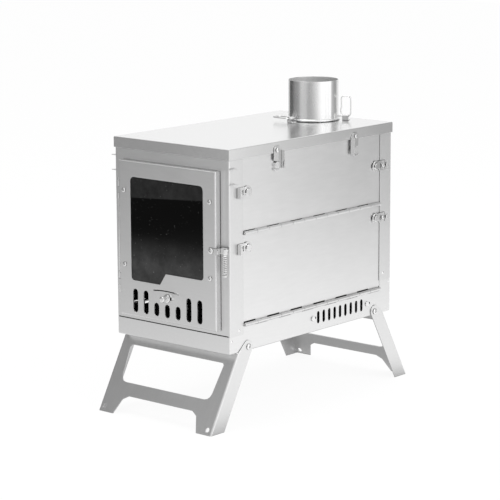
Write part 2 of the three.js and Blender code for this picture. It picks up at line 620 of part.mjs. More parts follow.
// ---- Side panels ----
function lowerPanel() {
  const foot = LOW_AXIS + LOW_NOTCH;
  const ear = SHEET_REAR - TRAY_EAR_LENGTH - 2 * GAP;
  const notch = STAND + TRAY_EAR + 5 * GAP;
  const sheet = outline([
    [SHEET_FRONT, foot],
    [ear, foot],
    [ear, notch],
    [SHEET_REAR, notch],
    [SHEET_REAR, MID_AXIS - MID_NOTCH],
    [SHEET_FRONT, MID_AXIS - MID_NOTCH],
  ]);
  return join(
    slab('x', sheet, WALL_IN, WALL_OUT, bossHoles(SIDE_LATCH_RISES[0])),
    knuckles(1, 1, LOW_NOTCH, LOW_AXIS),
    knuckles(0, -1, MID_NOTCH, MID_AXIS),
  );
}

function upperPanel() {
  const sheet = box(SHEET_FRONT, MID_AXIS + MID_NOTCH, SHEET_REAR, PANEL_TOP);
  const boss = pin('x', BOSS_RADIUS, WALL_OUT - SHEET / 2, WALL_OUT + BOSS_HEIGHT, 12);
  return join(
    slab('x', sheet, WALL_IN, WALL_OUT, bossHoles(SIDE_LATCH_RISES[1])),
    knuckles(1, 1, MID_NOTCH, MID_AXIS),
    TOP_LATCH_PLACES.map((y) => boss.translate([0, y, TOP_BOSS])),
  );
}

// A turned boss, riveted through its panel with the shank flush inside.
const sideBoss = join(
  pin('x', BOSS_RADIUS, WALL_OUT + GAP, WALL_OUT + BOSS_HEIGHT, 12),
  pin('x', BOSS_SHANK, WALL_IN, WALL_OUT + BOSS_HEIGHT / 2, 8),
);
const rod = () => pin('y', ROD_RADIUS, ROW_FRONT, ROW_REAR, 10);
for (const [name, side] of SIDES) {
  add(`lower_panel_${name}`, sided(lowerPanel(), side), SIDE);
  add(`upper_panel_${name}`, sided(upperPanel(), side), SIDE);
  add(`lower_rod_${name}`, rod(), FIXING, [side * AXIS_X, 0, LOW_AXIS]);
  add(`middle_rod_${name}`, rod(), FIXING, [side * AXIS_X, 0, MID_AXIS]);
  for (const [end, way] of ENDS) {
    const y = way * (REAR - BOSS_INSET);
    add(`boss_${end}_low_${name}`, sided(sideBoss, side), FIXING, [0, y, SIDE_LATCH_RISES[0]]);
    add(`boss_${end}_high_${name}`, sided(sideBoss, side), FIXING, [0, y, SIDE_LATCH_RISES[1]]);
  }
}

// ---- Latches ----
// The band that the boss leaves by: an arc round the pivot, from one angle to the other.
function mouth(reach, radius, from, to) {
  return [
    ...arc(0, 0, reach + radius, from, to, 5),
    ...arc(0, 0, reach - radius, to, from, 5),
  ];
}

// Side latch of a front panel, pivot at the origin: the hook lies over the boss and opens downwards.
function sideLatch() {
  const hook = HOOK_RADIUS + HOOK_BAND;
  const block = box(-LATCH_TAIL, -LATCH_TAB_HALF, LATCH_REACH - HOOK_RADIUS, LATCH_TAB_HALF);
  const window = box(LATCH_SLOT[0], -LATCH_SLOT_HALF, LATCH_SLOT[1], LATCH_SLOT_HALF);
  const pivot = circle(0, 0, LATCH_PIVOT_RADIUS + GAP, 8);
  const plate = join(
    slab('x', block, 0, LEVER, [window, pivot]),
    slab('x', circle(LATCH_REACH, 0, hook, 14), 0, LEVER),
  );
  const tab = slab('x', box(-LATCH_TAIL, -LATCH_TAB_HALF, -LATCH_TAIL + LEVER, LATCH_TAB_HALF), 0, LATCH_TAB);
  return join(cut(
    plate,
    slab('x', circle(LATCH_REACH, 0, HOOK_RADIUS, 14), -1, LEVER + 1),
    slab('x', mouth(LATCH_REACH, HOOK_RADIUS, 0, -MOUTH_TURN), -1, LEVER + 1),
  ), tab);
}

// Top latch of the front pair, pivot at the origin: it hangs from the plate's edge and opens forwards.
function topLatch() {
  const hook = HOOK_RADIUS + HOOK_BAND;
  const foot = -TOP_LATCH_REACH - TOP_LATCH_TAIL;
  const block = outline([
    [-LATCH_TAIL, TOP_LATCH_TAIL, 3],
    [LATCH_TAIL, TOP_LATCH_TAIL, 3],
    [TOP_TAB_SIDE, -LEVER / 2],
    [TOP_TAB_SIDE, foot],
    [0, foot, 2],
    [-LATCH_TAIL, -TOP_LATCH_REACH + HOOK_RADIUS, 2],
  ]);
  const plate = join(
    slab('x', block, 0, LEVER, [circle(0, 0, LATCH_PIVOT_RADIUS + GAP, 8)]),
    slab('x', circle(0, -TOP_LATCH_REACH, hook, 14), 0, LEVER),
  );
  const edge = box(TOP_TAB_SIDE - LEVER, foot, TOP_TAB_SIDE, -LEVER / 2);
  return join(cut(
    plate,
    slab('x', circle(0, -TOP_LATCH_REACH, HOOK_RADIUS, 14), -1, LEVER + 1),
    slab('x', mouth(TOP_LATCH_REACH, HOOK_RADIUS, -90, -90 - TOP_MOUTH_TURN), -1, LEVER + 1),
  ), slab('x', edge, 0, LATCH_TAB));
}

for (const [name, side] of SIDES) {
  for (const [end, way] of ENDS) {
    const turned = way < 0 ? sideLatch() : sideLatch().mirror([0, 1, 0]);
    const y = -way * (FRONT + LATCH_INSET);
    ['low', 'high'].forEach((level, i) => {
      const place = [side * SIDE_LEVER_X, y, SIDE_LATCH_RISES[i]];
      add(`latch_${end}_${level}_${name}`, sided(turned, side), SMALL, place);
    });
    const hung = way < 0 ? topLatch() : topLatch().mirror([0, 1, 0]);
    const topPlace = [side * TOP_LEVER_X, TOP_LATCH_PLACES[way < 0 ? 0 : 1], TOP_LATCH_AXIS];
    add(`latch_top_${end}_${name}`, sided(hung, side), SMALL, topPlace);
  }
}

// ---- Fire door ----
const doorVents = Array.from({ length: DOOR_VENTS }, (_, i) => {
  const order = i - (DOOR_VENTS - 1) / 2;
  const x = order * DOOR_VENT_PITCH;
  const head = STAND + (Math.abs(order) < 2 ? DOOR_VENT_LOW_HEAD : DOOR_VENT_HEAD);
  return slot(x - DOOR_VENT_WIDTH / 2, STAND + DOOR_VENT_FOOT, x + DOOR_VENT_WIDTH / 2, head, 4);
});
const doorScrews = DOOR_SCREW_RISES.flatMap((z) => [DOOR_SCREW_SIDE, -DOOR_SCREW_SIDE].map((x) => [x, z]));
const damperHead = STAND + DOOR_VENT_HEAD + GUIDE_LAP;

// Guides that hold the door damper's edges against the door, in two lengths at head and foot.
function damperGuides() {
  const lip = [DAMPER_BACK + GAP, DAMPER_BACK + GAP + SHEET];
  const head = damperHead + GAP;
  const end = DOOR_HALF - GUIDE_INSET;
  const spans = [[-end, -end + GUIDE_LENGTH], [end - GUIDE_LENGTH, end]];
  return spans.flatMap(([x0, x1]) => [
    slab('y', box(x0, head, x1, head + SHEET), DOOR_INSIDE - SHEET / 4, lip[1]),
    slab('y', box(x0, head - GUIDE_LAP, x1, head + SHEET), ...lip),
    slab('y', box(x0, DOOR_SILL + SHEET / 2, x1, DOOR_SILL + DAMPER_RISE + GUIDE_LAP), ...lip),
  ]);
}

function doorPanel() {
  const depth = DOOR_PROUD - DOOR_SEAT;
  const upright = pan(DOOR_HALF, -DOOR_HEAD, -DOOR_SILL, depth).rotate([-90, 0, 0]);
  const shell = upright.translate([0, DOOR_FACE, 0]);
  const window = outline([
    [-WINDOW_SIDE, WINDOW_SILL, 5],
    [WINDOW_STEP_PLACES[0], WINDOW_SILL],
    [WINDOW_STEP_PLACES[1], WINDOW_SILL + WINDOW_STEP],
    [WINDOW_SIDE, WINDOW_SILL + WINDOW_STEP, 5],
    [WINDOW_SIDE, WINDOW_HEAD, 6],
    [-WINDOW_SIDE, WINDOW_HEAD, 6],
  ], 25);
  const bowCentre = STAND + BOW_RISE - BOW_RADIUS;
  const [left, right] = [90 + BOW_TURN, 90 - BOW_TURN];
  const bow = [
    ...arc(BOW_PLACE, bowCentre, BOW_RADIUS + BOW_WIDTH, left, right, 8),
    ...arc(BOW_PLACE, bowCentre, BOW_RADIUS, right, left, 8),
  ];
  const knobZ = STAND + KNOB_RISE;
  const knobSlot = slot(
    -KNOB_SHANK - 2 * GAP,
    knobZ - KNOB_SHANK - GAP,
    DOOR_TRAVEL + KNOB_SHANK + 2 * GAP,
    knobZ + KNOB_SHANK + GAP,
  );
  const screwHoles = doorScrews.map(([x, z]) => circle(x, z, DOOR_SCREW_RADIUS + GAP));
  const latchHole = circle(DOOR_LATCH_X, DOOR_LATCH_Z, LEG_SCREW_RADIUS + GAP);
  const holes = [window, bow, knobSlot, latchHole, ...screwHoles, ...doorVents];
  const sideLeaf = outline([
    [0, -KNUCKLE_RADIUS],
    [DOOR_AXIS_OUT + SHEET / 4, -KNUCKLE_RADIUS],
    [DOOR_AXIS_OUT + SHEET / 4, -KNUCKLE_RADIUS + SHEET],
    [0.5 * KNUCKLE_RADIUS, -KNUCKLE_RADIUS + SHEET],
    [0, -0.2 * KNUCKLE_RADIUS],
  ]);
  const barrels = DOOR_HINGE_RISES.map((z) => doorBarrel(sideLeaf, ...barrelSpans(z)[1]));
  return join(
    cut(shell, holes.map((shape) => slab('y', shape, DOOR_FACE - 1, DOOR_INSIDE + SHEET / 4))),
    damperGuides(),
    barrels,
  );
}
add('door_panel', doorPanel(), BODY);

const glassSide = WINDOW_SIDE + GLASS_LAP;
const glassFoot = WINDOW_SILL - GLASS_FOOT_LAP;
const glassHead = WINDOW_HEAD + GLASS_LAP;
add('door_glass', slab(
  'y',
  box(-glassSide, glassFoot, glassSide, glassHead, 4),
  GLASS_FRONT,
  GLASS_BACK,
), GLASS);

function retainer() {
  const out = DOOR_SCREW_SIDE + DOOR_SCREW_EDGE;
  const side = glassSide - RETAINER_BAND;
  const rim = box(-out, glassFoot - 1, out, glassHead + 4, 3);
  const view = box(-side, glassFoot + RETAINER_BAND, side, glassHead - RETAINER_BAND, 4);
  const holes = doorScrews.map(([x, z]) => circle(x, z, DOOR_SCREW_RADIUS + GAP));
  return slab('y', rim, GLASS_BACK + GAP, GLASS_BACK + GAP + SHEET, [view, ...holes]);
}
add('glass_retainer', retainer(), SMALL);

// A screw along Y through the door: head in front of face, nut behind back.
function doorScrew(radius, headRadius, face, back) {
  const [head, nut] = [face - GAP, back + GAP];
  return join(
    pin('y', headRadius, head - SCREW_HEAD_HEIGHT, head),
    pin('y', radius, head - SCREW_HEAD_HEIGHT / 2, nut + 0.8 * SCREW_HEAD_HEIGHT),
    pin('y', 0.88 * headRadius, nut, nut + SCREW_HEAD_HEIGHT, 6),
  );
}
doorScrews.forEach(([x, z], i) => {
  const body = doorScrew(DOOR_SCREW_RADIUS, DOOR_SCREW_HEAD, DOOR_FACE, GLASS_BACK + GAP + SHEET);
  add(`glass_screw_${i + 1}`, body, FIXING, [x, 0, z]);
});
add('door_hinge_pin', pin(
  'z',
  ROD_RADIUS,
  DOOR_HINGE_RISES[0] - DOOR_BARREL / 2 - DOOR_PIN_END,
  DOOR_HINGE_RISES[1] + DOOR_BARREL / 2 + DOOR_PIN_END,
  10,
), FIXING, [DOOR_AXIS_X, DOOR_AXIS_Y, 0]);

// ---- Door damper and its knob ----
// Closed, the plate has slid to the right until its bars lie behind the vents.
function doorDamper() {
  const left = -DOOR_VENT_END - DOOR_TRAVEL - 1;
  const rim = box(left, DOOR_SILL + DAMPER_RISE, DOOR_VENT_END + DAMPER_LAP, damperHead, 1);
  const hole = circle(0, STAND + KNOB_RISE, KNOB_SHANK + GAP);
  return slab('y', rim, DAMPER_BACK - SHEET, DAMPER_BACK, [hole, ...doorVents]);
}
add('door_damper_plate', doorDamper(), SMALL);

function damperKnob() {
  const [washer, nut] = [DOOR_FACE - GAP, DAMPER_BACK + GAP];
  const neck = washer - 0.35 * KNOB_LENGTH;
  return join(
    pin('y', KNOB_SHANK, washer - 2 * SHEET, nut + SHEET),
    pin('y', KNOB_WASHER, washer - 1.5 * SHEET, washer, 16),
    pin('y', KNOB_NECK, neck, washer - SHEET, 16),
    pin('y', KNOB_RADIUS, washer - KNOB_LENGTH, neck + SHEET / 2, 16),
    pin('y', KNOB_NECK, nut, nut + 1.25 * SHEET, 6),
  );
}
add('door_damper_knob', damperKnob(), FIXING, [0, 0, STAND + KNOB_RISE]);

// ---- Door latch: a joggled lever, its hook over the catch pin, and a coil grip ----
const leverY = DOOR_FACE - PLAY - LEVER; // front of the strip that lies on the door
const hookY = FRONT - CATCH_PROUD + GAP; // front of the strip that lies over the panel
const gripX = FLANGE_OUT - SHEET / 4;
const gripY = FRONT - GRIP_PROUD;
const [leverFoot, leverHead] = LATCH_STRIP.map((rise) => DOOR_LATCH_Z + rise);

function doorLatch() {
  const joggle = DOOR_HALF + LATCH_JOGGLE;
  const end = FLANGE_OUT + SHEET / 4;
  const strip = box(DOOR_LATCH_X - 4.5, leverFoot, joggle + LEVER, leverHead);
  const hole = circle(DOOR_LATCH_X, DOOR_LATCH_Z, LEG_SCREW_RADIUS + GAP);
  const arm = new THREE.Vector2(CATCH_X - DOOR_LATCH_X, CATCH_Z - DOOR_LATCH_Z);
  const angle = THREE.MathUtils.radToDeg(arm.angle());
  const clear = CATCH_RADIUS + CATCH_PLAY;
  const notch = mouth(arm.length(), clear, angle, angle - LATCH_MOUTH_TURN).map(({ x, y }) =>
    new THREE.Vector2(x + DOOR_LATCH_X, y + DOOR_LATCH_Z));
  const hook = outline([
    [joggle, leverFoot],
    [end, leverFoot],
    [end, leverHead + 1.5, 2],
    [CATCH_X - 4.5, leverHead + 1.5, 2],
    [CATCH_X - 6, leverHead],
    [joggle, leverHead],
  ]);
  const plate = join(
    slab('y', strip, leverY, leverY + LEVER, [hole]),
    slab('y', box(joggle, leverFoot, joggle + LEVER, leverHead), leverY, hookY + LEVER),
    slab('y', hook, hookY, hookY + LEVER),
    slab('y', box(end - SHEET, leverFoot, end, leverHead), gripY - 2 * GRIP_STEM, hookY + LEVER),
  );
  const tools = [circle(CATCH_X, CATCH_Z, clear), notch].map((shape) =>
    slab('y', shape, hookY - GAP, hookY + LEVER + 1));
  const foot = leverFoot - GRIP_LENGTH;
  const stem = join(
    pin('z', GRIP_STEM, foot - 2.5 * GRIP_STEM, leverHead - 2 * GRIP_STEM, 10),
    pin('z', GRIP_RADIUS, foot - 2.7 * GRIP_STEM, foot - GRIP_WIRE),
  );
  return join(cut(plate, ...tools), stem.translate([gripX, gripY, 0]));
}
add('door_latch_lever', doorLatch(), SMALL);
add('door_latch_screw', doorScrew(LEG_SCREW_RADIUS, LEG_SCREW_HEAD, leverY, DOOR_INSIDE), FIXING, [
  DOOR_LATCH_X,
  0,
  DOOR_LATCH_Z,
]);

// The grip: one unbroken wire wound round the stem, between the lever and the stem's foot.
function gripCoil() {
  const around = 8;
  const steps = GRIP_TURNS * around;
  const rise = GRIP_LENGTH - 2 * GAP - 2 * GRIP_WIRE;
  const centres = Array.from({ length: steps + 1 }, (_, i) => {
    const angle = (2 * Math.PI * i) / around;
    const z = GAP + GRIP_WIRE + (rise * i) / steps;
    return new THREE.Vector3(GRIP_RADIUS * Math.cos(angle), GRIP_RADIUS * Math.sin(angle), z);
  });
  const sides = GRIP_WIRE_SIDES;
  const ring = arc(0, 0, GRIP_WIRE, 0, 360, sides).slice(0, sides);
  const positions = centres.flatMap((centre) => {
    const out = new THREE.Vector3(centre.x, centre.y, 0).normalize();
    return ring.flatMap(({ x, y }) => [centre.x + out.x * x, centre.y + out.y * x, centre.z + y]);
  });
  const index = [];
  for (let i = 0; i < steps; i += 1) {
    for (let k = 0; k < sides; k += 1) {
      const [a, b] = [i * sides + k, i * sides + ((k + 1) % sides)];
      index.push(a, b + sides, b, a, a + sides, b + sides);
    }
  }
  const last = steps * sides;
  for (let k = 1; k < sides - 1; k += 1) {
    index.push(0, k, k + 1, last, last + k + 1, last + k);
  }
  const geometry = new THREE.BufferGeometry();
  geometry.setAttribute('position', new THREE.Float32BufferAttribute(positions, 3));
  geometry.setIndex(index);
  const coil = solid(geometry);
  const gaps = centres.flatMap((here, i) =>
    centres.slice(i + around / 2 + 1).map((there) => here.distanceTo(there) - 2 * GRIP_WIRE));
  console.log(`least gap between the grip's turns: ${Math.min(...gaps).toFixed(2)} mm`);
  return coil;
}
add('door_latch_coil', gripCoil(), FIXING, [gripX, gripY, leverFoot - GRIP_LENGTH - GAP]);

// ---- Side dampers ----
function sideDamper() {
  const out = WALL_IN - GAP;
  const end = DAMPER_SCREW_REACH + DAMPER_END;
  const rim = box(VENT_MIDDLE - end, STAND + VENT_FOOT - 3, VENT_MIDDLE + end, STAND + VENT_HEAD + 3, 1);
  const screw = join(
    pin('x', DAMPER_SCREW_RADIUS, out - SHEET / 2, WALL_OUT + GAP + SHEET / 2),
    pin('x', DAMPER_SCREW_HEAD, WALL_OUT + GAP, WALL_OUT + GAP + SCREW_HEAD_HEIGHT),
  );
  const screws = damperScrews.map((y) => screw.translate([0, y, STAND + DAMPER_SCREW_RISE]));
  return join(slab('x', rim, out - SHEET, out, sideVents), screws);
}
for (const [name, side] of SIDES) add(`side_damper_${name}`, sided(sideDamper(), side), SMALL);

// ---- Legs ----
// One pressing: a leaning web with a flange down each side that turns on the tray's screws.
// It is drawn upright from its pivot, leant, and cut off level with the ground.
function leg() {
  const half = FLANGE_IN + LEG_SHEET;
  const bend = BEND + 0.4;
  const [out, back] = [-LEG_WEB, LEG_FLANGE - LEG_WEB];
  const lean = turnOf(LEG_LEAN);
  const ground = -LEG_Z / Math.cos(lean) - LEG_WEB * Math.tan(lean);
  const foot = ground - LEG_FLANGE;
  const section = outline([
    [-half, out, bend],
    [half, out, bend],
    [half, back],
    [FLANGE_IN, back],
    [FLANGE_IN, out + LEG_SHEET, bend - LEG_SHEET],
    [-FLANGE_IN, out + LEG_SHEET, bend - LEG_SHEET],
    [-FLANGE_IN, back],
    [-half, back],
  ]);
  const profile = outline([
    [out, foot],
    [out, -LEG_WEB_TOP, 2],
    [1.5 - LEG_HEEL, LEG_HEEL, LEG_HEEL - 2],
    [back, LEG_HEEL, LEG_HEEL - 0.1],
    [back, foot],
  ]);
  const across = (points) => outline([
    ...points.map(([u, ...rest]) => [-u, ...rest]),
    ...points.toReversed(),
  ]);
  const windowSide = FLANGE_IN - LEG_WINDOW.side;
  const archSide = FLANGE_IN - LEG_ARCH.side;
  const web = [
    box(-FLANGE_IN, -LEG_WEB_TOP, FLANGE_IN, LEG_HEEL + 1),
    across([
      [windowSide, -LEG_WEB_TOP - LEG_WINDOW.drop, 4],
      [windowSide - LEG_WINDOW.taper, ground + LEG_WINDOW.rise, 10],
    ]),
    across([
      [archSide, ground + LEG_ARCH.rise, 4],
      [archSide + LEG_ARCH.flare, ground + LEG_ARCH.shoulder, 3],
      [FLANGE_IN - LEG_ARCH.foot, foot],
    ]),
    ...[-1, 1].map((way) =>
      circle(way * (FLANGE_IN - FOOT_HOLE_INSET), ground + FOOT_HOLE_RISE, FOOT_HOLE_RADIUS)),
  ];
  const pressed = slab('z', section, foot, LEG_HEEL + 1).intersect(slab('x', profile, -half, half));
  const bore = slab('x', circle(0, 0, LEG_SCREW_RADIUS + GAP), -half - 1, half + 1);
  const opened = cut(pressed, bore, web.map((shape) => slab('y', shape, out - 1, out + LEG_SHEET + 1)));
  return opened.rotate([-LEG_LEAN, 0, 0]).trimByPlane([0, 0, 1], -LEG_Z);
}
add('front_leg', leg(), LEG, [0, LEG_Y, LEG_Z]);
add('rear_leg', leg().mirror([0, 1, 0]), LEG, [0, -LEG_Y, LEG_Z]);

function legScrew() {
  const [nut, head] = [WALL_IN - GAP, FLANGE_IN + LEG_SHEET + GAP];
  return join(
    pin('x', LEG_SCREW_HEAD, head, head + 1.2 * SCREW_HEAD_HEIGHT, 16),
    pin('x', LEG_SCREW_RADIUS, nut - SCREW_HEAD_HEIGHT, head + SCREW_HEAD_HEIGHT / 2),
    pin('x', 0.8 * LEG_SCREW_HEAD, nut - 1.6 * SCREW_HEAD_HEIGHT, nut, 6),
  );
}
for (const [name, side] of SIDES) {
  for (const [end, way] of ENDS) {
    add(`leg_screw_${end}_${name}`, sided(legScrew(), side), FIXING, [0, -way * LEG_Y, LEG_Z]);
  }
}

// ---- Fire grate ----
function grate() {
  const [half, long] = [WIDTH / 2 - GRATE_MARGIN, LENGTH / 2 - GRATE_END];
  const pitch = (2 * half) / (GRATE_COLUMNS + 1);
  const slots = Array.from({ length: GRATE_COLUMNS }, (_, i) => {
    const x = (i - (GRATE_COLUMNS - 1) / 2) * pitch;
    const [x0, x1] = [x - GRATE_SLOT / 2, x + GRATE_SLOT / 2];
    const [y0, y1] = [GRATE_RIB / 2, long - GRATE_RIB];
    return [slot(x0, y0, x1, y1, 2), slot(x0, -y1, x1, -y0, 2)];
  });
  const plate = slab('z', box(-half, -long, half, long, 4, 45), GRATE_RISE, GRATE_RISE + SHEET, slots.flat());
  const end = long - 15;
  const shape = box(half - SHEET, end - GRATE_FOOT / 2, half, end + GRATE_FOOT / 2);
  const foot = slab('z', shape, SHEET + GAP, GRATE_RISE + SHEET);
  return join(plate, bothSides(join(foot, foot.mirror([0, 1, 0]))));
}
add('fire_grate', grate(), SMALL, [0, 0, STAND]);

export default stove;
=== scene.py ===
"""Looks of the folding tent stove: sheet titanium, a window painted dark for the shade behind it, turned
fixings and wire bails.
"""
import math
import bpy
import numpy as np
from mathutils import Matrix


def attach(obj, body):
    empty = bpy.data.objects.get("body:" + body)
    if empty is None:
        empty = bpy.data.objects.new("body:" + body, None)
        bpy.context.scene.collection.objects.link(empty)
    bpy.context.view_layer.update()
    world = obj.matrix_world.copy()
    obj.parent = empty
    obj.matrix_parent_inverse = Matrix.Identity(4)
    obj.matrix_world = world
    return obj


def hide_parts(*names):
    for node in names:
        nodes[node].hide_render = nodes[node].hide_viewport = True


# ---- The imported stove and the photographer's place ----
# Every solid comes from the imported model, in metres. The camera stands to the front right, a little
# over the top plate, with a long lens.
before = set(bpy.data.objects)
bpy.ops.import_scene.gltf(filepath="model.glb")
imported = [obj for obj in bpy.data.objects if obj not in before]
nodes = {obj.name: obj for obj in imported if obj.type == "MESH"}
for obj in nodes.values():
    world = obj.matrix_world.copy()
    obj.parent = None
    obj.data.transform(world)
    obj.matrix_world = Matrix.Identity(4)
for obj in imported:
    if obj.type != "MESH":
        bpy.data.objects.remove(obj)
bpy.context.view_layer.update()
MM = 0.001

# The photograph's width, and the point of it that the lens is aimed at, in pixels.
PICTURE = 500
SIGHT = (247.96, 240.38)
azimuth, elevation, roll = map(math.radians, (40.697, 10.810, 0.2775))
lens = bpy.data.cameras.new("photo_lens")
lens.lens = 151.96
lens.sensor_width = 36
lens.shift_x = (PICTURE / 2 - SIGHT[0]) / PICTURE
lens.shift_y = (SIGHT[1] - PICTURE / 2) / PICTURE
lens.clip_start, lens.clip_end = 0.1, 50
camera = bpy.data.objects.new("photo_camera", lens)
bpy.context.scene.collection.objects.link(camera)
camera.location = (1.83627, -2.15327, 0.75297)
camera.rotation_euler = (math.pi / 2 - elevation, 0, azimuth)
camera.rotation_euler.rotate_axis("Z", -roll)
bpy.context.scene.camera = camera
bpy.context.scene.view_settings.view_transform = "Standard"


# ---- Studio: floor, surround, lamps and daylight ----
# A white sweep that the camera sees as white and that the metal and the glass see with painted light falling
# off and a painted shadow under the stove, with a ring of grey and white card round the stove that only the
# metal sees, as in a product studio.
def maker(tree):
    """A function that adds a node of a kind, sets its attributes, and fills inputs by name or number."""
    def add(kind, inputs=(), **attributes):
        node = tree.nodes.new(kind)
        for key, value in attributes.items():
            setattr(node, key, value)
        for key, value in dict(inputs).items():
            if isinstance(value, bpy.types.NodeSocket):
                tree.links.new(value, node.inputs[key])
            else:
                node.inputs[key].default_value = value
        return node
    return add


def material(name):
    """A new node material, and the maker of its nodes."""
    made = bpy.data.materials.new(name)
    made.use_nodes = True
    made.node_tree.nodes.clear()
    return made, maker(made.node_tree)


def worked(add, operation, *values, **attributes):
    """One step of arithmetic: a Math node's operation on one to three values."""
    return add("ShaderNodeMath", dict(enumerate(values)), operation=operation, **attributes).outputs[0]


def mapped(add, value, low, high, start=0.0, end=1.0, **attributes):
    """A value carried from the range low to high over to start to end, and held at both ends."""
    return add("ShaderNodeMapRange", {0: value, 1: low, 2: high, 3: start, 4: end}, **attributes).outputs[0]


def seen_directly(add):
    """1 for camera, glossy and transmission rays, and 0 for the rest: their sum, held below 1."""
    path = add("ShaderNodeLightPath").outputs
    pair = worked(add, "ADD", path["Is Camera Ray"], path["Is Glossy Ray"])
    return worked(add, "ADD", pair, path["Is Transmission Ray"], use_clamp=True)


world = bpy.data.worlds.new("daylight")
bpy.context.scene.world = world
world.use_nodes = True
world.node_tree.nodes.clear()
add = maker(world.node_tree)
ambient = add("ShaderNodeBackground", {"Color": (1, 1, 1, 1), "Strength": 0.75})
white = add("ShaderNodeBackground", {"Color": (1, 1, 1, 1), "Strength": 1.0})
both = add("ShaderNodeMixShader", {0: seen_directly(add), 1: ambient.outputs[0], 2: white.outputs[0]})
add("ShaderNodeOutputWorld", {"Surface": both.outputs[0]})


def sheet_mesh(name, grid, around=False, ends=False, flip=False):
    """A mesh over an (n, m, 3) grid in millimetres: each square of four neighbours is a face. Around
    joins the last column to the first, ends closes the first and last rows with one face each, and flip
    turns every face over."""
    n, m, _ = grid.shape
    index = np.arange(n * m).reshape(n, m)
    right = np.roll(index, -1, axis=1) if around else index[:, 1:]
    left = index if around else index[:, :-1]
    faces = np.stack([left[:-1], right[:-1], right[1:], left[1:]], axis=-1).reshape(-1, 4)
    if flip:
        faces = faces[:, ::-1]
    loops, sizes = [faces.ravel()], [np.full(len(faces), 4)]
    if ends:
        first, last = (index[0][::-1], index[-1]) if not flip else (index[0], index[-1][::-1])
        loops += [first, last]
        sizes += [np.array([m]), np.array([m])]
    loops, sizes = np.concatenate(loops), np.concatenate(sizes)
    mesh = bpy.data.meshes.new(name)
    mesh.vertices.add(n * m)
    mesh.vertices.foreach_set("co", (grid * MM).astype(np.float32).ravel())
    mesh.loops.add(len(loops))
    mesh.loops.foreach_set("vertex_index", loops.astype(np.int32))
    mesh.polygons.add(len(sizes))
    mesh.polygons.foreach_set("loop_start", np.concatenate([[0], np.cumsum(sizes)[:-1]]).astype(np.int32))
    mesh.update(calc_edges=True)
    mesh.validate()
    return mesh


def shown(name, mesh, smooth=None):
    """The mesh as an object in the scene, shaded smooth up to an angle between faces in degrees."""
    piece = bpy.data.objects.new(name, mesh)
    bpy.context.scene.collection.objects.link(piece)
    if smooth is not None:
        mesh.shade_smooth()
        mesh.set_sharp_from_angle(angle=math.radians(smooth))
    return piece


# The floor's sizes are in millimetres, FLOOR_DROP being its depth under the feet. The sizes of its
# painted shadow are in metres: half the body's footprint, and the width of the shadow's soft edge. Glossy
# rays see a painted light on it that fades from 1.02 to 0.62 with the distance from the stove and to 0.76 at
# the left, and a painted shadow under the body; the camera sees it evenly white.
FLOOR_HALF, FLOOR_DROP = 6000, 0.2
FOOTPRINT, SOFT_EDGE, FOOT_PAINTED_SHADOW = (0.09, 0.19), 0.07, 0.42
EVEN_WHITE, GLOW_SHARE = 1.03, 0.88
across = np.linspace(-FLOOR_HALF, FLOOR_HALF, 25)
u, v = np.meshgrid(across, across, indexing="ij")
floor = shown("floor", sheet_mesh("floor", np.stack([u, v, 0 * u - FLOOR_DROP], axis=-1)))
finish, add = material("white_floor")
pale = add("ShaderNodeBsdfDiffuse", {"Color": (0.9, 0.9, 0.9, 1)})
spot = add("ShaderNodeTexCoord").outputs["Object"]
part = add("ShaderNodeSeparateXYZ", {0: spot}).outputs
reach = add("ShaderNodeVectorMath", {0: spot}, operation="LENGTH").outputs["Value"]
# Painted light in the floor's glow: it falls off with the distance and to the left.
painted_falloff = mapped(add, reach, 0.6, 1.7, 1.02, 0.62)
painted_side_falloff = mapped(add, part["X"], -0.35, 0.3, 0.76, 1.12)
out = [mapped(add, worked(add, "ABSOLUTE", part[key]), half, half + SOFT_EDGE)
       for key, half in zip("XY", FOOTPRINT)]
# Painted shadow of the body on the floor, seen only in reflections.
shade = mapped(add, worked(add, "MAXIMUM", *out), 0.0, 1.0, FOOT_PAINTED_SHADOW, 1.0)
level = worked(add, "MULTIPLY", worked(add, "MULTIPLY", painted_falloff, painted_side_falloff), shade)
glossy = add("ShaderNodeLightPath").outputs["Is Glossy Ray"]
level = add("ShaderNodeMix", {0: glossy, 2: EVEN_WHITE, 3: level})
glow = add("ShaderNodeEmission", {"Color": (1, 1, 1, 1), "Strength": level.outputs[0]})
share = worked(add, "MULTIPLY", seen_directly(add), GLOW_SHARE)
both = add("ShaderNodeMixShader", {0: share, 1: pale.outputs[0], 2: glow.outputs[0]})
add("ShaderNodeOutputMaterial", {"Surface": both.outputs[0]})
floor.data.materials.append(finish)

# The card ring: brightness by direction round the stove, in degrees from the door towards the right.
RING_RADIUS, RING_HEIGHT = 1450, 1500
CARDS = [(-180, 1.0), (-112, 1.0), (-100, 0.08), (-74, 0.10), (-64, 0.28), (-34, 0.32), (-22, 0.80),
         (6, 0.74), (16, 0.42), (38, 0.58), (56, 0.85), (80, 1.40), (122, 1.35), (133, 0.72),
         (143, 0.36), (164, 0.36), (176, 1.0)]
turn = np.radians(np.linspace(0, 360, 97))
u, v = np.meshgrid(turn, np.linspace(0, RING_HEIGHT, 7))
ring = np.stack([RING_RADIUS * np.sin(u), -RING_RADIUS * np.cos(u), v], axis=-1)
surround = shown("surround", sheet_mesh("surround", ring))
finish, add = material("card_surround")
spot = add("ShaderNodeTexCoord").outputs["Object"]
part = add("ShaderNodeSeparateXYZ", {0: spot}).outputs
angle = worked(add, "ARCTAN2", part["X"], worked(add, "MULTIPLY", part["Y"], -1.0))
ramp = add("ShaderNodeValToRGB", {0: mapped(add, angle, -math.pi, math.pi)})
stops = ramp.color_ramp.elements
while len(stops) < len(CARDS):
    stops.new(0.5)
for stop, (degrees, grey) in zip(stops, CARDS):
    stop.position = (degrees + 180) / 360
    stop.color = (grey, grey, grey, 1)
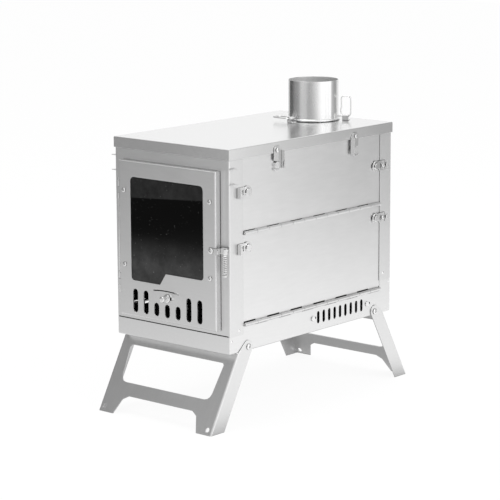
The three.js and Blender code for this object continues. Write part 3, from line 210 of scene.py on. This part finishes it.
glow = add("ShaderNodeEmission", {"Color": ramp.outputs["Color"], "Strength": 1.0})
add("ShaderNodeOutputMaterial", {"Surface": glow.outputs[0]})
surround.data.materials.append(finish)
surround.visible_camera = surround.visible_diffuse = surround.visible_shadow = False
surround.visible_transmission = surround.visible_volume_scatter = False

STOVE_MIDDLE = np.array([0, 0, 0.2])


def softbox(name, place, size, power):
    """A square lamp that faces the middle of the stove."""
    lamp = bpy.data.lights.new(name, "AREA")
    lamp.size, lamp.energy = size, power
    box = bpy.data.objects.new(name, lamp)
    bpy.context.scene.collection.objects.link(box)
    box.location = place
    aim = STOVE_MIDDLE - np.array(place)
    box.rotation_euler = (math.acos(aim[2] / np.linalg.norm(aim)) - math.pi, 0,
                          math.atan2(aim[1], aim[0]) + math.pi / 2)


softbox("right_softbox", (1.9, 0.2, 1.5), size=1.1, power=14)
softbox("top_softbox", (-0.3, -0.4, 2.4), size=1.2, power=12)


# ---- Bottom tray ----
# A pan of rolled titanium sheet that carries everything else, in the walls' grey, painted a little lighter
# than the end panels' for the light on the sides. Its walls hold half of the lower hinge rows, the air vents
# and the leg screws, and round rivets fix its corners to the flanges.
def node_group(name, taken, returned):
    """A new node group with named inputs and outputs, the maker of its nodes, and its inputs' values."""
    group = bpy.data.node_groups.new(name, "ShaderNodeTree")
    for sockets, way in ((taken, "INPUT"), (returned, "OUTPUT")):
        for key, kind in sockets.items():
            group.interface.new_socket(key, in_out=way, socket_type="NodeSocket" + kind)
    add = maker(group)
    return group, add, add("NodeGroupInput").outputs


def grain_group():
    """Rolled sheet as a node group: streaks along one axis and a slow cloud, each a noise of Object
    coordinates. Their sum less its mean, times the tone, scales a base colour about 1, and a small part
    of it is added to a roughness. The streaks are raised in the normal."""
    rough_part, streak_height = 0.06, 0.0004
    group, add, given = node_group(
        "rolled_grain",
        {"Colour": "Color", "Stretch": "Vector", "Tone": "Float", "Roughness": "Float", "Relief": "Float",
         "Normal": "Vector"},
        {"Colour": "Color", "Roughness": "Float", "Normal": "Vector"})
    spot = add("ShaderNodeTexCoord").outputs["Object"]
    along = add("ShaderNodeVectorMath", {0: spot, 1: given["Stretch"]}, operation="MULTIPLY")
    streak = add("ShaderNodeTexNoise", {"Vector": along.outputs[0], "Scale": 1.0, "Detail": 1.0})
    cloud = add("ShaderNodeTexNoise", {"Vector": spot, "Scale": 16.0, "Detail": 5.0, "Roughness": 0.6})
    centred = worked(add, "SUBTRACT", worked(add, "ADD", streak.outputs[0], cloud.outputs[0]), 1.0)
    tone = worked(add, "MULTIPLY_ADD", centred, given["Tone"], 1.0)
    shade = add("ShaderNodeVectorMath", {0: given["Colour"], "Scale": tone}, operation="SCALE")
    rough = worked(add, "MULTIPLY_ADD", centred, rough_part, given["Roughness"], use_clamp=True)
    bump = add("ShaderNodeBump", {
        "Height": streak.outputs[0],
        "Strength": given["Relief"],
        "Distance": streak_height,
        "Normal": given["Normal"],
    })
    add("NodeGroupOutput", {"Colour": shade.outputs[0], "Roughness": rough, "Normal": bump.outputs[0]})
    return group


def painted_shade_group():
    """Painted shade as a node group: a mask that is 1 inside a room and 0 outside it, as the product of four
    tests on the Object coordinates, one for each pair of walls, one for the floor and one for the head."""
    group, add, given = node_group(
        "painted_shade_room",
        {"Half Width": "Float", "Half Length": "Float", "Floor": "Float", "Head": "Float"},
        {"Mask": "Float"})
    part = add("ShaderNodeSeparateXYZ", {0: add("ShaderNodeTexCoord").outputs["Object"]}).outputs
    mask = worked(add, "LESS_THAN", worked(add, "ABSOLUTE", part["X"]), given["Half Width"])
    for test in (worked(add, "LESS_THAN", worked(add, "ABSOLUTE", part["Y"]), given["Half Length"]),
                 worked(add, "GREATER_THAN", part["Z"], given["Floor"]),
                 worked(add, "LESS_THAN", part["Z"], given["Head"])):
        mask = worked(add, "MULTIPLY", mask, test)
    add("NodeGroupOutput", {"Mask": mask})
    return group


def edge_group():
    """Rounded edges as a node group: a normal rounded over a small radius, and a mask for a painted
    highlight along the edges, of how far that normal leans from the flat one, 0 where their dot product is
    over 0.99 and 1 where it is under 0.80."""
    group, add, given = node_group("rounded_edge_highlight", {"Radius": "Float"},
                                   {"Mask": "Float", "Normal": "Vector"})
    round_edge = add("ShaderNodeBevel", {"Radius": given["Radius"]}, samples=6).outputs[0]
    flat = add("ShaderNodeNewGeometry").outputs["True Normal"]
    lean = add("ShaderNodeVectorMath", {0: round_edge, 1: flat}, operation="DOT_PRODUCT").outputs["Value"]
    add("NodeGroupOutput", {"Mask": mapped(add, lean, 0.99, 0.80), "Normal": round_edge})
    return group


def crevice_group():
    """Shade in narrow corners as a node group: how open the surface is to its surroundings within a short
    distance, mapped to a factor that falls from 1, at four fifths, to its least value, at a quarter."""
    group, add, given = node_group("crevice_shade", {"Distance": "Float", "Least": "Float"},
                                   {"Factor": "Float"})
    openness = add("ShaderNodeAmbientOcclusion", {"Distance": given["Distance"]}, samples=6).outputs["AO"]
    add("NodeGroupOutput", {"Factor": mapped(add, openness, 0.25, 0.8, given["Least"], 1.0)})
    return group


rolled_grain = grain_group()
crevice_shade = crevice_group()
painted_shade_room = painted_shade_group()
rounded_edge_highlight = edge_group()

# The rooms of painted shade are in metres: the firebox, painted black for the shade inside the closed box,
# and the open joint between the front panel and the tray, painted black for the shadow in the gap.
FIREBOX = {"Half Width": 0.0982, "Half Length": 0.1698, "Floor": 0.0995, "Head": 0.3655}
PANEL_JOINT = {"Half Width": 0.0975, "Half Length": 0.1706, "Floor": 0.1223, "Head": 0.1237}
# Painted shade: the near-black colour and the dull roughness of what lies in those rooms.
PAINTED_SHADE_BLACK, PAINTED_SHADE_ROUGHNESS = (0.012, 0.012, 0.012, 1), 0.9
# Painted highlight along the edges: the near-white grey they are mixed towards, and its share.
EDGE_HIGHLIGHT_GREY, EDGE_HIGHLIGHT_SHARE = (0.97, 0.97, 0.97, 1), 0.6
EDGE_RADIUS, CREVICE_REACH = 0.0004, 0.002


def metal(name, grey, rough, stretch=(260, 40, 260), tone=0.05, relief=0.03, least=0.12, metallic=1.0):
    """Bare metal: the edge group rounds the edges and paints a highlight along them, the grain group gives
    colour, roughness and normal, the crevice group darkens tight corners down to least, and the
    painted-shade group blackens and dulls what lies in a room of painted shade."""
    made, add = material(name)
    edge = add("ShaderNodeGroup", {"Radius": EDGE_RADIUS}, node_tree=rounded_edge_highlight).outputs
    grain = add("ShaderNodeGroup", {
        "Colour": (grey, grey, grey, 1),
        "Stretch": stretch,
        "Tone": tone,
        "Roughness": rough,
        "Relief": relief,
        "Normal": edge["Normal"],
    }, node_tree=rolled_grain).outputs
    # Painted shade: the inside of the firebox and the panel joint are painted black and dull.
    painted_shade_mask = worked(add, "MAXIMUM", *[add("ShaderNodeGroup", room, node_tree=painted_shade_room).outputs[0]
                                    for room in (FIREBOX, PANEL_JOINT)])
    # Painted highlight: the rounded edges are mixed towards a near-white grey.
    painted_edge_highlight = worked(add, "MULTIPLY", edge["Mask"], EDGE_HIGHLIGHT_SHARE)
    bright = add("ShaderNodeMix", {0: painted_edge_highlight, 6: grain["Colour"], 7: EDGE_HIGHLIGHT_GREY}, data_type="RGBA")
    crevice = add("ShaderNodeGroup", {"Distance": CREVICE_REACH, "Least": least}, node_tree=crevice_shade)
    shaded = add("ShaderNodeVectorMath", {0: bright.outputs[2], "Scale": crevice.outputs[0]},
                 operation="SCALE")
    shade_painted = add("ShaderNodeMix", {0: painted_shade_mask, 6: shaded.outputs[0], 7: PAINTED_SHADE_BLACK}, data_type="RGBA")
    skin = add("ShaderNodeBsdfPrincipled", {
        "Base Color": shade_painted.outputs[2],
        "Roughness": mapped(add, painted_shade_mask, 0.0, 1.0, grain["Roughness"], PAINTED_SHADE_ROUGHNESS),
        "Normal": grain["Normal"],
        "Metallic": mapped(add, painted_shade_mask, 0.0, 1.0, metallic, 0.0),
    })
    add("ShaderNodeOutputMaterial", {"Surface": skin.outputs[0]})
    return made


def dress(finish, *names):
    """Gives CAD nodes their finish."""
    for name in names:
        slots = nodes[name].material_slots
        if not slots:
            nodes[name].data.materials.append(finish)
        for place in slots:
            place.material = finish


# Painted light: the walls' grey is set lighter than the end panels' for the light on the sides.
side_sheet = metal("walls_lit_sheet", 0.79, 0.33, least=0.55)
dress(side_sheet, "bottom_tray")


def turned(profile, sides, middle, axis, key=None):
    """A closed turned grid: each profile point (radius, height) is carried round the axis from middle, as
    radius * cos and radius * sin of the turn. key(angle, row) scales the radii where a form isn't round."""
    profile = np.array(profile, float)
    angle = np.linspace(0, 2 * math.pi, sides, endpoint=False)
    radius = np.repeat(profile[:, :1], sides, axis=1)
    if key is not None:
        radius = radius * key(angle[None, :], np.arange(len(profile))[:, None])
    height = np.repeat(profile[:, 1:], sides, axis=1)
    flat = np.stack([radius * np.cos(angle), radius * np.sin(angle), height], axis=-1)
    axis = np.array(axis, float)
    side = np.array([0, 0, 1.0]) if abs(axis[2]) < 0.5 else np.array([1.0, 0, 0])
    across = np.cross(axis, side)
    return np.array(middle, float) + flat[..., :1] * side + flat[..., 1:2] * across + flat[..., 2:] * axis


def joined(name, meshes):
    """One mesh of several: their vertices and faces are stacked, each with its numbers moved on."""
    whole = bpy.data.meshes.new(name)
    places, loops, sizes, base = [], [], [], 0
    for mesh in meshes:
        co = np.empty(len(mesh.vertices) * 3, np.float32)
        mesh.vertices.foreach_get("co", co)
        corner = np.empty(len(mesh.loops), np.int32)
        mesh.loops.foreach_get("vertex_index", corner)
        count = np.empty(len(mesh.polygons), np.int32)
        mesh.polygons.foreach_get("loop_total", count)
        places.append(co)
        loops.append(corner + base)
        sizes.append(count)
        base += len(mesh.vertices)
        bpy.data.meshes.remove(mesh)
    places, loops, sizes = map(np.concatenate, (places, loops, sizes))
    whole.vertices.add(base)
    whole.vertices.foreach_set("co", places)
    whole.loops.add(len(loops))
    whole.loops.foreach_set("vertex_index", loops)
    whole.polygons.add(len(sizes))
    whole.polygons.foreach_set("loop_start", np.concatenate([[0], np.cumsum(sizes)[:-1]]).astype(np.int32))
    whole.update(calc_edges=True)
    return whole


def fitted(name, meshes, finish, body, smooth=35, replaced=()):
    """A finished piece: one object of the meshes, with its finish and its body."""
    piece = shown(name, joined(name, meshes), smooth)
    piece.data.materials.append(finish)
    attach(piece, body)
    if replaced:
        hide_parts(*replaced)
    return piece


steel = metal("turned_steel", 0.86, 0.13, stretch=(500, 500, 500))


def rivet(middle, axis, radius=2.0, height=0.7):
    """A low dome: height falls as the square of the share of the radius, and the foot sits a quarter of
    a millimetre deep in the sheet."""
    share = np.linspace(0.04, 1, 8)
    rows = [(radius * s, height * (1 - s * s)) for s in share]
    rows += [(radius * 0.94, -0.25)]
    return sheet_mesh("rivet", turned(rows[::-1], 20, middle, axis), around=True, ends=True)


# Half widths in millimetres over the tray's wall and over the flanges that lap it.
WALL = 98.9
FLANGE = 100.0
corner_rivets = []
for way in (1, -1):
    corner_rivets += [rivet((way * FLANGE, -152.3, 128.5), (way, 0, 0)),
                      rivet((way * WALL, -165.9, 115.7), (way, 0, 0)),
                      rivet((way * FLANGE, 153.5, 156.0), (way, 0, 0)),
                      rivet((way * WALL, 168.0, 141.6), (way, 0, 0), radius=1.6)]
fitted("corner_rivets", corner_rivets, steel, "stove_frame")

# ---- Fire grate ----
# A slotted plate on four bent feet, of the small parts' bright sheet. It lies in the firebox, where
# the painted shade makes it black.
small_sheet = metal("latch_sheet", 0.82, 0.17, stretch=(6, 300, 300))
dress(small_sheet, "fire_grate")

# ---- Legs and their screws ----
# Two pressings of thicker sheet, each a leaning web with a flange down both sides. Button-head screws
# with a six-sided socket are their pivots.
leg_sheet = metal("leg_sheet", 0.76, 0.34, stretch=(300, 60, 8))
dress(leg_sheet, "front_leg", "rear_leg")


def six_sided(angle):
    """Radius of a hexagon over its inscribed circle: 1 / cos of the angle to the nearest flat."""
    return 1 / np.cos((angle + math.pi / 6) % (math.pi / 3) - math.pi / 6)


def button_screw(face, axis, radius, head, shank=0.0, length=0.0, nut=None):
    """A turned screw, face being the underside of its head: a socket, a domed button, a shank, and a
    six-sided nut from the first to the second depth given. Socket and nut scale their rows by the
    hexagon, and the dome falls as the square of the share of the radius."""
    socket = 0.42 * radius
    dome = [(radius * s, head * (1 - 0.45 * s * s)) for s in np.linspace(0.5, 0.94, 5)]
    rows = [(socket * 0.1, head * 0.42), (socket, head * 0.42), (socket, head * 0.92), *dome,
            (radius, head * 0.35), (radius, 0.12), (radius * 0.95, 0.0)]
    sharp = [1, 2]
    if shank:
        start, end = nut if nut else (length, length)
        rows += [(shank, 0.0), (shank, -start)]
        if nut:
            sharp += [len(rows) + 1, len(rows) + 2]
            rows += [(radius * 0.62, -start), (radius * 0.8, -start - 0.1), (radius * 0.8, -end + 0.1),
                     (shank, -end)]
        rows += [(shank, -length), (shank * 0.4, -length - 0.15)]
    else:
        rows += [(radius * 0.3, 0.0)]

    def key(angle, row):
        return np.where(np.isin(row, sharp), six_sided(angle), 1.0)
    return sheet_mesh("screw", turned(rows, 36, face, axis, key), around=True, ends=True, flip=True)


# The pivots' distance along the stove, their height, and the outside of the sheet under the heads.
LEG_PIVOT = (134.7, 104.3)
LEG_FACE = 100.7
for end, along in (("front", -1), ("rear", 1)):
    for side, way in (("right", 1), ("left", -1)):
        name = f"leg_screw_{end}_{side}"
        place = (way * LEG_FACE, along * LEG_PIVOT[0], LEG_PIVOT[1])
        screw = button_screw(place, (way, 0, 0), radius=4.0, head=1.8, shank=1.6, length=5.2, nut=(2.9, 5.0))
        fitted(f"{name}_turned", [screw], steel, "stove_frame", replaced=[name])

# ---- Front and rear panels ----
# Flat plates with a flange down each side, their grey painted a little darker than the walls' for the shade
# on the ends. The front one carries the door's barrels, two small ears and the plain catch pin.
# Painted shade: the end panels' grey is set darker than the walls' for the shade on the ends.
front_sheet = metal("ends_shaded_sheet", 0.75, 0.36, stretch=(40, 260, 260))
dress(front_sheet, "front_panel", "rear_panel")

# ---- Side walls ----
# Each wall is a lower and an upper panel on the tray, joined by two rows of rolled knuckles round a
# steel rod, with turned steel bosses for the latches to hook over.
for side in ("right", "left"):
    dress(side_sheet, f"lower_panel_{side}", f"upper_panel_{side}")
    dress(steel, f"lower_rod_{side}", f"middle_rod_{side}")
dress(steel, *[n for n in nodes if n.startswith("boss_")])

# ---- Top plate and flue collar ----
# The top plate is a shallow lid, its grey painted a little lighter than the walls' for the light on the top.
# The collar is two half shells with lapped seams, rolled to a bead at the foot, and dull inside.
# Painted light: the top's grey is set lighter than the walls' for the light on the top.
top_sheet = metal("top_lit_sheet", 0.82, 0.24, stretch=(220, 5, 220), tone=0.03)
dress(top_sheet, "top_plate")
collar_sheet = metal("pipe_sheet", 0.76, 0.27, stretch=(90, 90, 6), tone=0.08, relief=0.05)

# The flue's axis on the plan, the heights of the bead's foot and of the rim, and the laps: where the
# seams are, how long each steps in and lies, all in degrees, and how deep as a share of the radius.
FLUE = (0.0, 123.0)
BEAD = 366.7
RIM = 422.6
SEAMS, LAP_RAMP, LAP_REACH, LAP_DEPTH = (9.4, 182), 1.2, 14, 0.011
OUTER_ROWS = range(9, 23)


def collar(sides=168):
    """The collar's wall as one closed profile turned round the flue: spigot, bead, outside, rolled rim
    and inside. Beside each seam the outside steps in by half a sheet, as a smooth lap."""
    bead = [(36.5 - 1.1 * (1 - math.sin(t)), BEAD + 1.5 - 1.5 * math.cos(t))
            for t in np.linspace(0.3, 2.6, 7)]
    rows = [(32.6, BEAD - 8.7), (33.4, BEAD - 8.7), (33.4, BEAD + 0.1), *bead, (35.0, BEAD + 3.4)]
    rows += [(35.0, z) for z in np.linspace(BEAD + 5, RIM - 1.2, 8)]
    rows += [(35.0, RIM - 0.5), (34.9, RIM - 0.1), (34.6, RIM), (34.3, RIM - 0.1), (34.2, RIM - 0.5)]
    rows += [(34.2, z) for z in np.linspace(RIM - 1.2, BEAD + 1.2, 8)]
    rows += [(32.6, BEAD + 0.8)]

    def lap(angle, row):
        past = [(-np.degrees(angle) - seam) % 360 for seam in SEAMS]
        step = sum(np.clip(way / LAP_RAMP, 0, 1) * (way < LAP_REACH) for way in past)
        return 1 - LAP_DEPTH * step * np.isin(row, OUTER_ROWS)
    return turned(rows, sides, (*FLUE, 0), (0, 0, 1), lap)


# The grid is closed by its first row again. The faces past the last outer row are the lining.
grid = collar()
wall = sheet_mesh("collar", np.concatenate([grid, grid[:1]]), around=True)
pipe = fitted("flue_collar_rolled", [wall], collar_sheet, "stove_frame",
              replaced=["flue_collar"])
pipe.data.materials.append(metal("pipe_lining", 0.62, 0.6, tone=0.12, metallic=0.6))
face_row = np.arange(len(pipe.data.polygons)) // grid.shape[1]
pipe.data.polygons.foreach_set("material_index", (face_row >= OUTER_ROWS[-1]).astype(np.int32))
dress(small_sheet, "collar_clip_right", "collar_clip_left")


def wire(points, radius, sides=12, steps=8):
    """A round wire: a centripetal Catmull-Rom line through the points, each stretch weighed by the square
    root of its length, with a circle carried along it. The circle's two directions come from a fixed
    guide, made square to the line at each step."""
    points = np.array(points, float)
    ends = np.vstack([2 * points[0] - points[1], points, 2 * points[-1] - points[-2]])
    knot = np.concatenate([[0], np.cumsum(np.linalg.norm(np.diff(ends, axis=0), axis=1) ** 0.5)])
    k = np.repeat(np.arange(1, len(ends) - 2), steps)
    share = np.tile(np.arange(steps) / steps, len(ends) - 3)
    k, share = np.append(k, len(ends) - 3), np.append(share, 1.0)
    t0, t1, t2, t3 = (knot[k + i][:, None] for i in (-1, 0, 1, 2))
    p0, p1, p2, p3 = (ends[k + i] for i in (-1, 0, 1, 2))
    t = t1 + share[:, None] * (t2 - t1)
    a1 = (t1 - t) / (t1 - t0) * p0 + (t - t0) / (t1 - t0) * p1
    a2 = (t2 - t) / (t2 - t1) * p1 + (t - t1) / (t2 - t1) * p2
    a3 = (t3 - t) / (t3 - t2) * p2 + (t - t2) / (t3 - t2) * p3
    b1 = (t2 - t) / (t2 - t0) * a1 + (t - t0) / (t2 - t0) * a2
    b2 = (t3 - t) / (t3 - t1) * a2 + (t - t1) / (t3 - t1) * a3
    line = (t2 - t) / (t2 - t1) * b1 + (t - t1) / (t2 - t1) * b2
    ahead = np.gradient(line, axis=0)
    ahead /= np.linalg.norm(ahead, axis=1)[:, None]
    guide = np.array([0.31, 0.52, 0.79])
    first = np.cross(ahead, guide)
    first /= np.linalg.norm(first, axis=1)[:, None]
    second = np.cross(ahead, first)
    turn = np.linspace(0, 2 * math.pi, sides, endpoint=False)[None, :, None]
    return line[:, None] + radius * (np.cos(turn) * first[:, None] + np.sin(turn) * second[:, None])


# The height of the bails' pins, which lie in their clips.
BAIL_PIN = 372.5


def bail_route(fold, way):
    """The bail's centre line: a pin out through its clip, a corner, and a tall loop back to the clip's
    inner end, with a small kink, turned about its own axis by fold and about the flue by way."""
    route = [(30.2, 0), (50.4, 0), (52.15, 0.75), (52.9, 2.5), (52.9, 24.5), (52.15, 26.25), (50.4, 27),
             (42.6, 27), (40.85, 26.25), (40.1, 24.5), (40.1, 13.5), (39.1, 8.1), (40.1, 2.6)]
    route = np.array([(out, 0, up) for out, up in route])
    c, s = math.cos(fold), math.sin(fold)
    route = route @ np.array([[1, 0, 0], [0, c, s], [0, -s, c]])
    c, s = math.cos(way), math.sin(way)
    return route @ np.array([[c, s, 0], [-s, c, 0], [0, 0, 1]]) + np.array([*FLUE, BAIL_PIN])


# Each clip's way round the flue and its bail's fold, in degrees, then the rivets that hold the clips,
# by their distance out from the flue and to the side.
CLIPS = (("right", 26, 0), ("left", 266, 90))
CLIP_RIVETS, CLIP_FACE = ((43.6, 5.6), (48.4, 5.6)), 367.5
clip_rivets = []
for side, way, fold in CLIPS:
    route = bail_route(math.radians(fold), math.radians(way))
    tube = sheet_mesh("bail", wire(route, radius=1.0), around=True, ends=True)
    fitted(f"bail_{side}_wire", [tube], steel, f"bail_{side}_wire", smooth=60,
           replaced=[f"bail_{side}"])
    c, s = math.cos(math.radians(way)), math.sin(math.radians(way))
    for out, painted_side_falloff in CLIP_RIVETS:
        place = (FLUE[0] + out * c - painted_side_falloff * s, FLUE[1] + out * s + painted_side_falloff * c, CLIP_FACE)
        clip_rivets.append(rivet(place, (0, 0, 1), radius=1.3, height=0.6))
fitted("clip_rivets", clip_rivets, steel, "stove_frame")

# ---- Latches ----
# Twelve small levers of stamped sheet, each with a bent finger tab and a hook that lies over a boss.
# They turn on studs with domed heads.
dress(small_sheet, *[n for n in nodes if n.startswith("latch_")])

# The studs' places on one side: out from the middle, along the stove and up.
SIDE_STUDS = [(102.4, y, z) for y in (-150.0, 150.0) for z in (235.4, 308.3)]
TOP_STUDS = [(103.6, y, 355.5) for y in (-78.5, 87.3)]
stud_heads = [button_screw((way * out, y, z), (way, 0, 0), radius=2.9, head=0.7)
              for way in (1, -1) for out, y, z in SIDE_STUDS + TOP_STUDS]
fitted("latch_stud_heads", stud_heads, steel, "stove_frame")

# ---- Fire door ----
# A pan of the end panels' sheet, painted darker for shade, with a large window, seven air vents and a curved
# slot over the damper knob. The glass is held from behind by a frame and four button screws.
dress(front_sheet, "door_panel")
dress(small_sheet, "glass_retainer")
dress(steel, "door_hinge_pin")


def painted_dark_glass():
    """Heat-proof glass, painted near-black for the shade in the firebox behind it: a slow cloud, lit by a
    painted reflection of the floor that rises towards the foot and by a painted strip of light at the head,
    with fine dust added, as a near-black grey with a clear shine."""
    # Painted light and shade: clear is the painted near-black, the span at the foot and its light a painted
    # reflection of the floor, the strip at the head painted light.
    floor_reflection_span, strip, slant = (0.246, 0.196), (0.2925, 0.2940), -0.07
    clear, floor_reflection_light, strip_light = 0.001, 0.10, 0.045
    made, add = material("painted_dark_glass")
    spot = add("ShaderNodeTexCoord").outputs["Object"]
    part = add("ShaderNodeSeparateXYZ", {0: spot}).outputs
    slanted = worked(add, "MULTIPLY_ADD", part["X"], slant, part["Z"])
    foot = mapped(add, part["Z"], *floor_reflection_span, interpolation_type="SMOOTHSTEP")
    head = mapped(add, slanted, *strip)
    cloud = add("ShaderNodeTexNoise", {"Vector": spot, "Scale": 45.0, "Detail": 6.0, "Roughness": 0.7})
    speck = add("ShaderNodeTexNoise", {"Vector": spot, "Scale": 700.0, "Detail": 1.0})
    dust = mapped(add, speck.outputs[0], 0.76, 0.82, 0.0, 0.25)
    lit = worked(add, "MULTIPLY_ADD", foot, floor_reflection_light, clear)
    lit = worked(add, "MULTIPLY_ADD", head, strip_light, lit)
    grey = worked(add, "ADD", worked(add, "MULTIPLY", cloud.outputs[0], lit), dust)
    tint = add("ShaderNodeCombineXYZ", {0: grey, 1: grey, 2: grey})
    skin = add("ShaderNodeBsdfPrincipled", {
        "Base Color": tint.outputs[0],
        "Roughness": 0.08,
        "Metallic": 0.0,
        "Specular IOR Level": 0.12,
    })
    add("ShaderNodeOutputMaterial", {"Surface": skin.outputs[0]})
    return made


dress(painted_dark_glass(), "door_glass")

# The door's outer face along the stove, and where the heads and the knob stand on it.
DOOR_FACE = -180.5
ON_DOOR = DOOR_FACE - 0.3
for number, (x, z) in enumerate(((75.5, 198.5), (-75.5, 198.5), (75.5, 298.0), (-75.5, 298.0)), 1):
    screw = button_screw((x, ON_DOOR, z), (0, -1, 0), radius=3.2, head=1.5, shank=1.4, length=7.0,
                         nut=(5.4, 6.7))
    fitted(f"glass_screw_{number}_turned", [screw], steel, "door",
           replaced=[f"glass_screw_{number}"])

# ---- Door damper and knob ----
# A thin plate slides behind the vents, moved by a turned steel knob with a straight knurl. The knob's
# profile runs from the end of its grip to the nut behind the plate.
dress(small_sheet, "door_damper_plate")
KNOB = (0.0, ON_DOOR, 162.0)
KNOB_PROFILE = [
    (0.4, 11.0), (2.6, 11.1), (3.3, 10.9), (3.8, 10.3), (3.9, 9.8), (3.9, 5.2), (3.8, 4.6), (3.2, 3.9),
    (3.1, 2.4), (3.2, 1.3), (5.1, 1.2), (5.5, 0.9), (5.5, 0.2), (5.2, 0.0), (1.8, 0.0), (1.8, -1.9),
    (2.9, -1.9), (3.1, -2.1), (3.1, -2.8), (1.8, -2.9), (1.7, -3.0), (0.5, -3.1),
]
GRIP_ROWS, NUT_ROWS = (4, 5), (17, 18)


def knurl(angle, row):
    """Straight flutes round the grip: the radius waves 32 times round, and the nut is six-sided."""
    fluted = 1 + 0.03 * np.cos(32 * angle)
    rest = np.where(np.isin(row, NUT_ROWS), six_sided(angle) * 0.9, 1.0)
    return np.where(np.isin(row, GRIP_ROWS), fluted, rest)


knob_grid = turned(KNOB_PROFILE, 192, KNOB, (0, -1, 0), knurl)
knob = sheet_mesh("knob", knob_grid, around=True, ends=True, flip=True)
fitted("damper_knob_turned", [knob], steel, "door_damper", smooth=40,
       replaced=["door_damper_knob"])

# ---- Door latch ----
# A joggled lever whose hook lies over the catch pin, with a spring-wire coil wound on its stem so that
# the hot handle can be touched.
dress(small_sheet, "door_latch_lever")

# The grip's axis on the plan, then the coil: its foot and height, how often it goes round, the radius
# of its turns and that of its wire.
GRIP = (99.8, -179.8)
COIL_FOOT, COIL_HEIGHT = 206.9, 24.0
COIL_TURNS, COIL_RADIUS, COIL_WIRE = 10, 2.9, 0.62
turn = np.linspace(0, COIL_TURNS, 241)
helix = np.stack([GRIP[0] + COIL_RADIUS * np.cos(2 * math.pi * turn),
                  GRIP[1] + COIL_RADIUS * np.sin(2 * math.pi * turn),
                  COIL_FOOT + COIL_HEIGHT * turn / COIL_TURNS], axis=1)
coil = sheet_mesh("coil", wire(helix, COIL_WIRE, sides=10, steps=1), around=True, ends=True)
fitted("grip_coil_wire", [coil], steel, "door_latch", smooth=60,
       replaced=["door_latch_coil"])

ON_LEVER = DOOR_FACE - 1.7
screw = button_screw((78.3, ON_LEVER, 235.0), (0, -1, 0), radius=3.9, head=1.5, shank=1.6, length=4.0,
                     nut=(2.5, 3.7))
fitted("latch_screw_turned", [screw], steel, "door", replaced=["door_latch_screw"])

# ---- Side dampers ----
# A vented plate behind each tray wall slides on two button screws, whose heads stand on the wall's
# outside, the same distance before and behind the middle of the plate.
DAMPER_FACE, DAMPER_MIDDLE, DAMPER_REACH, DAMPER_HEIGHT = 99.1, 58.85, 59.44, 117.6
for side, way in (("right", 1), ("left", -1)):
    dress(small_sheet, f"side_damper_{side}")
    heads = []
    for along in (-1, 1):
        place = (way * DAMPER_FACE, DAMPER_MIDDLE + along * DAMPER_REACH, DAMPER_HEIGHT)
        heads.append(button_screw(place, (way, 0, 0), radius=3.5, head=1.7))
    fitted(f"damper_screw_heads_{side}", heads, steel, f"{side}_damper")
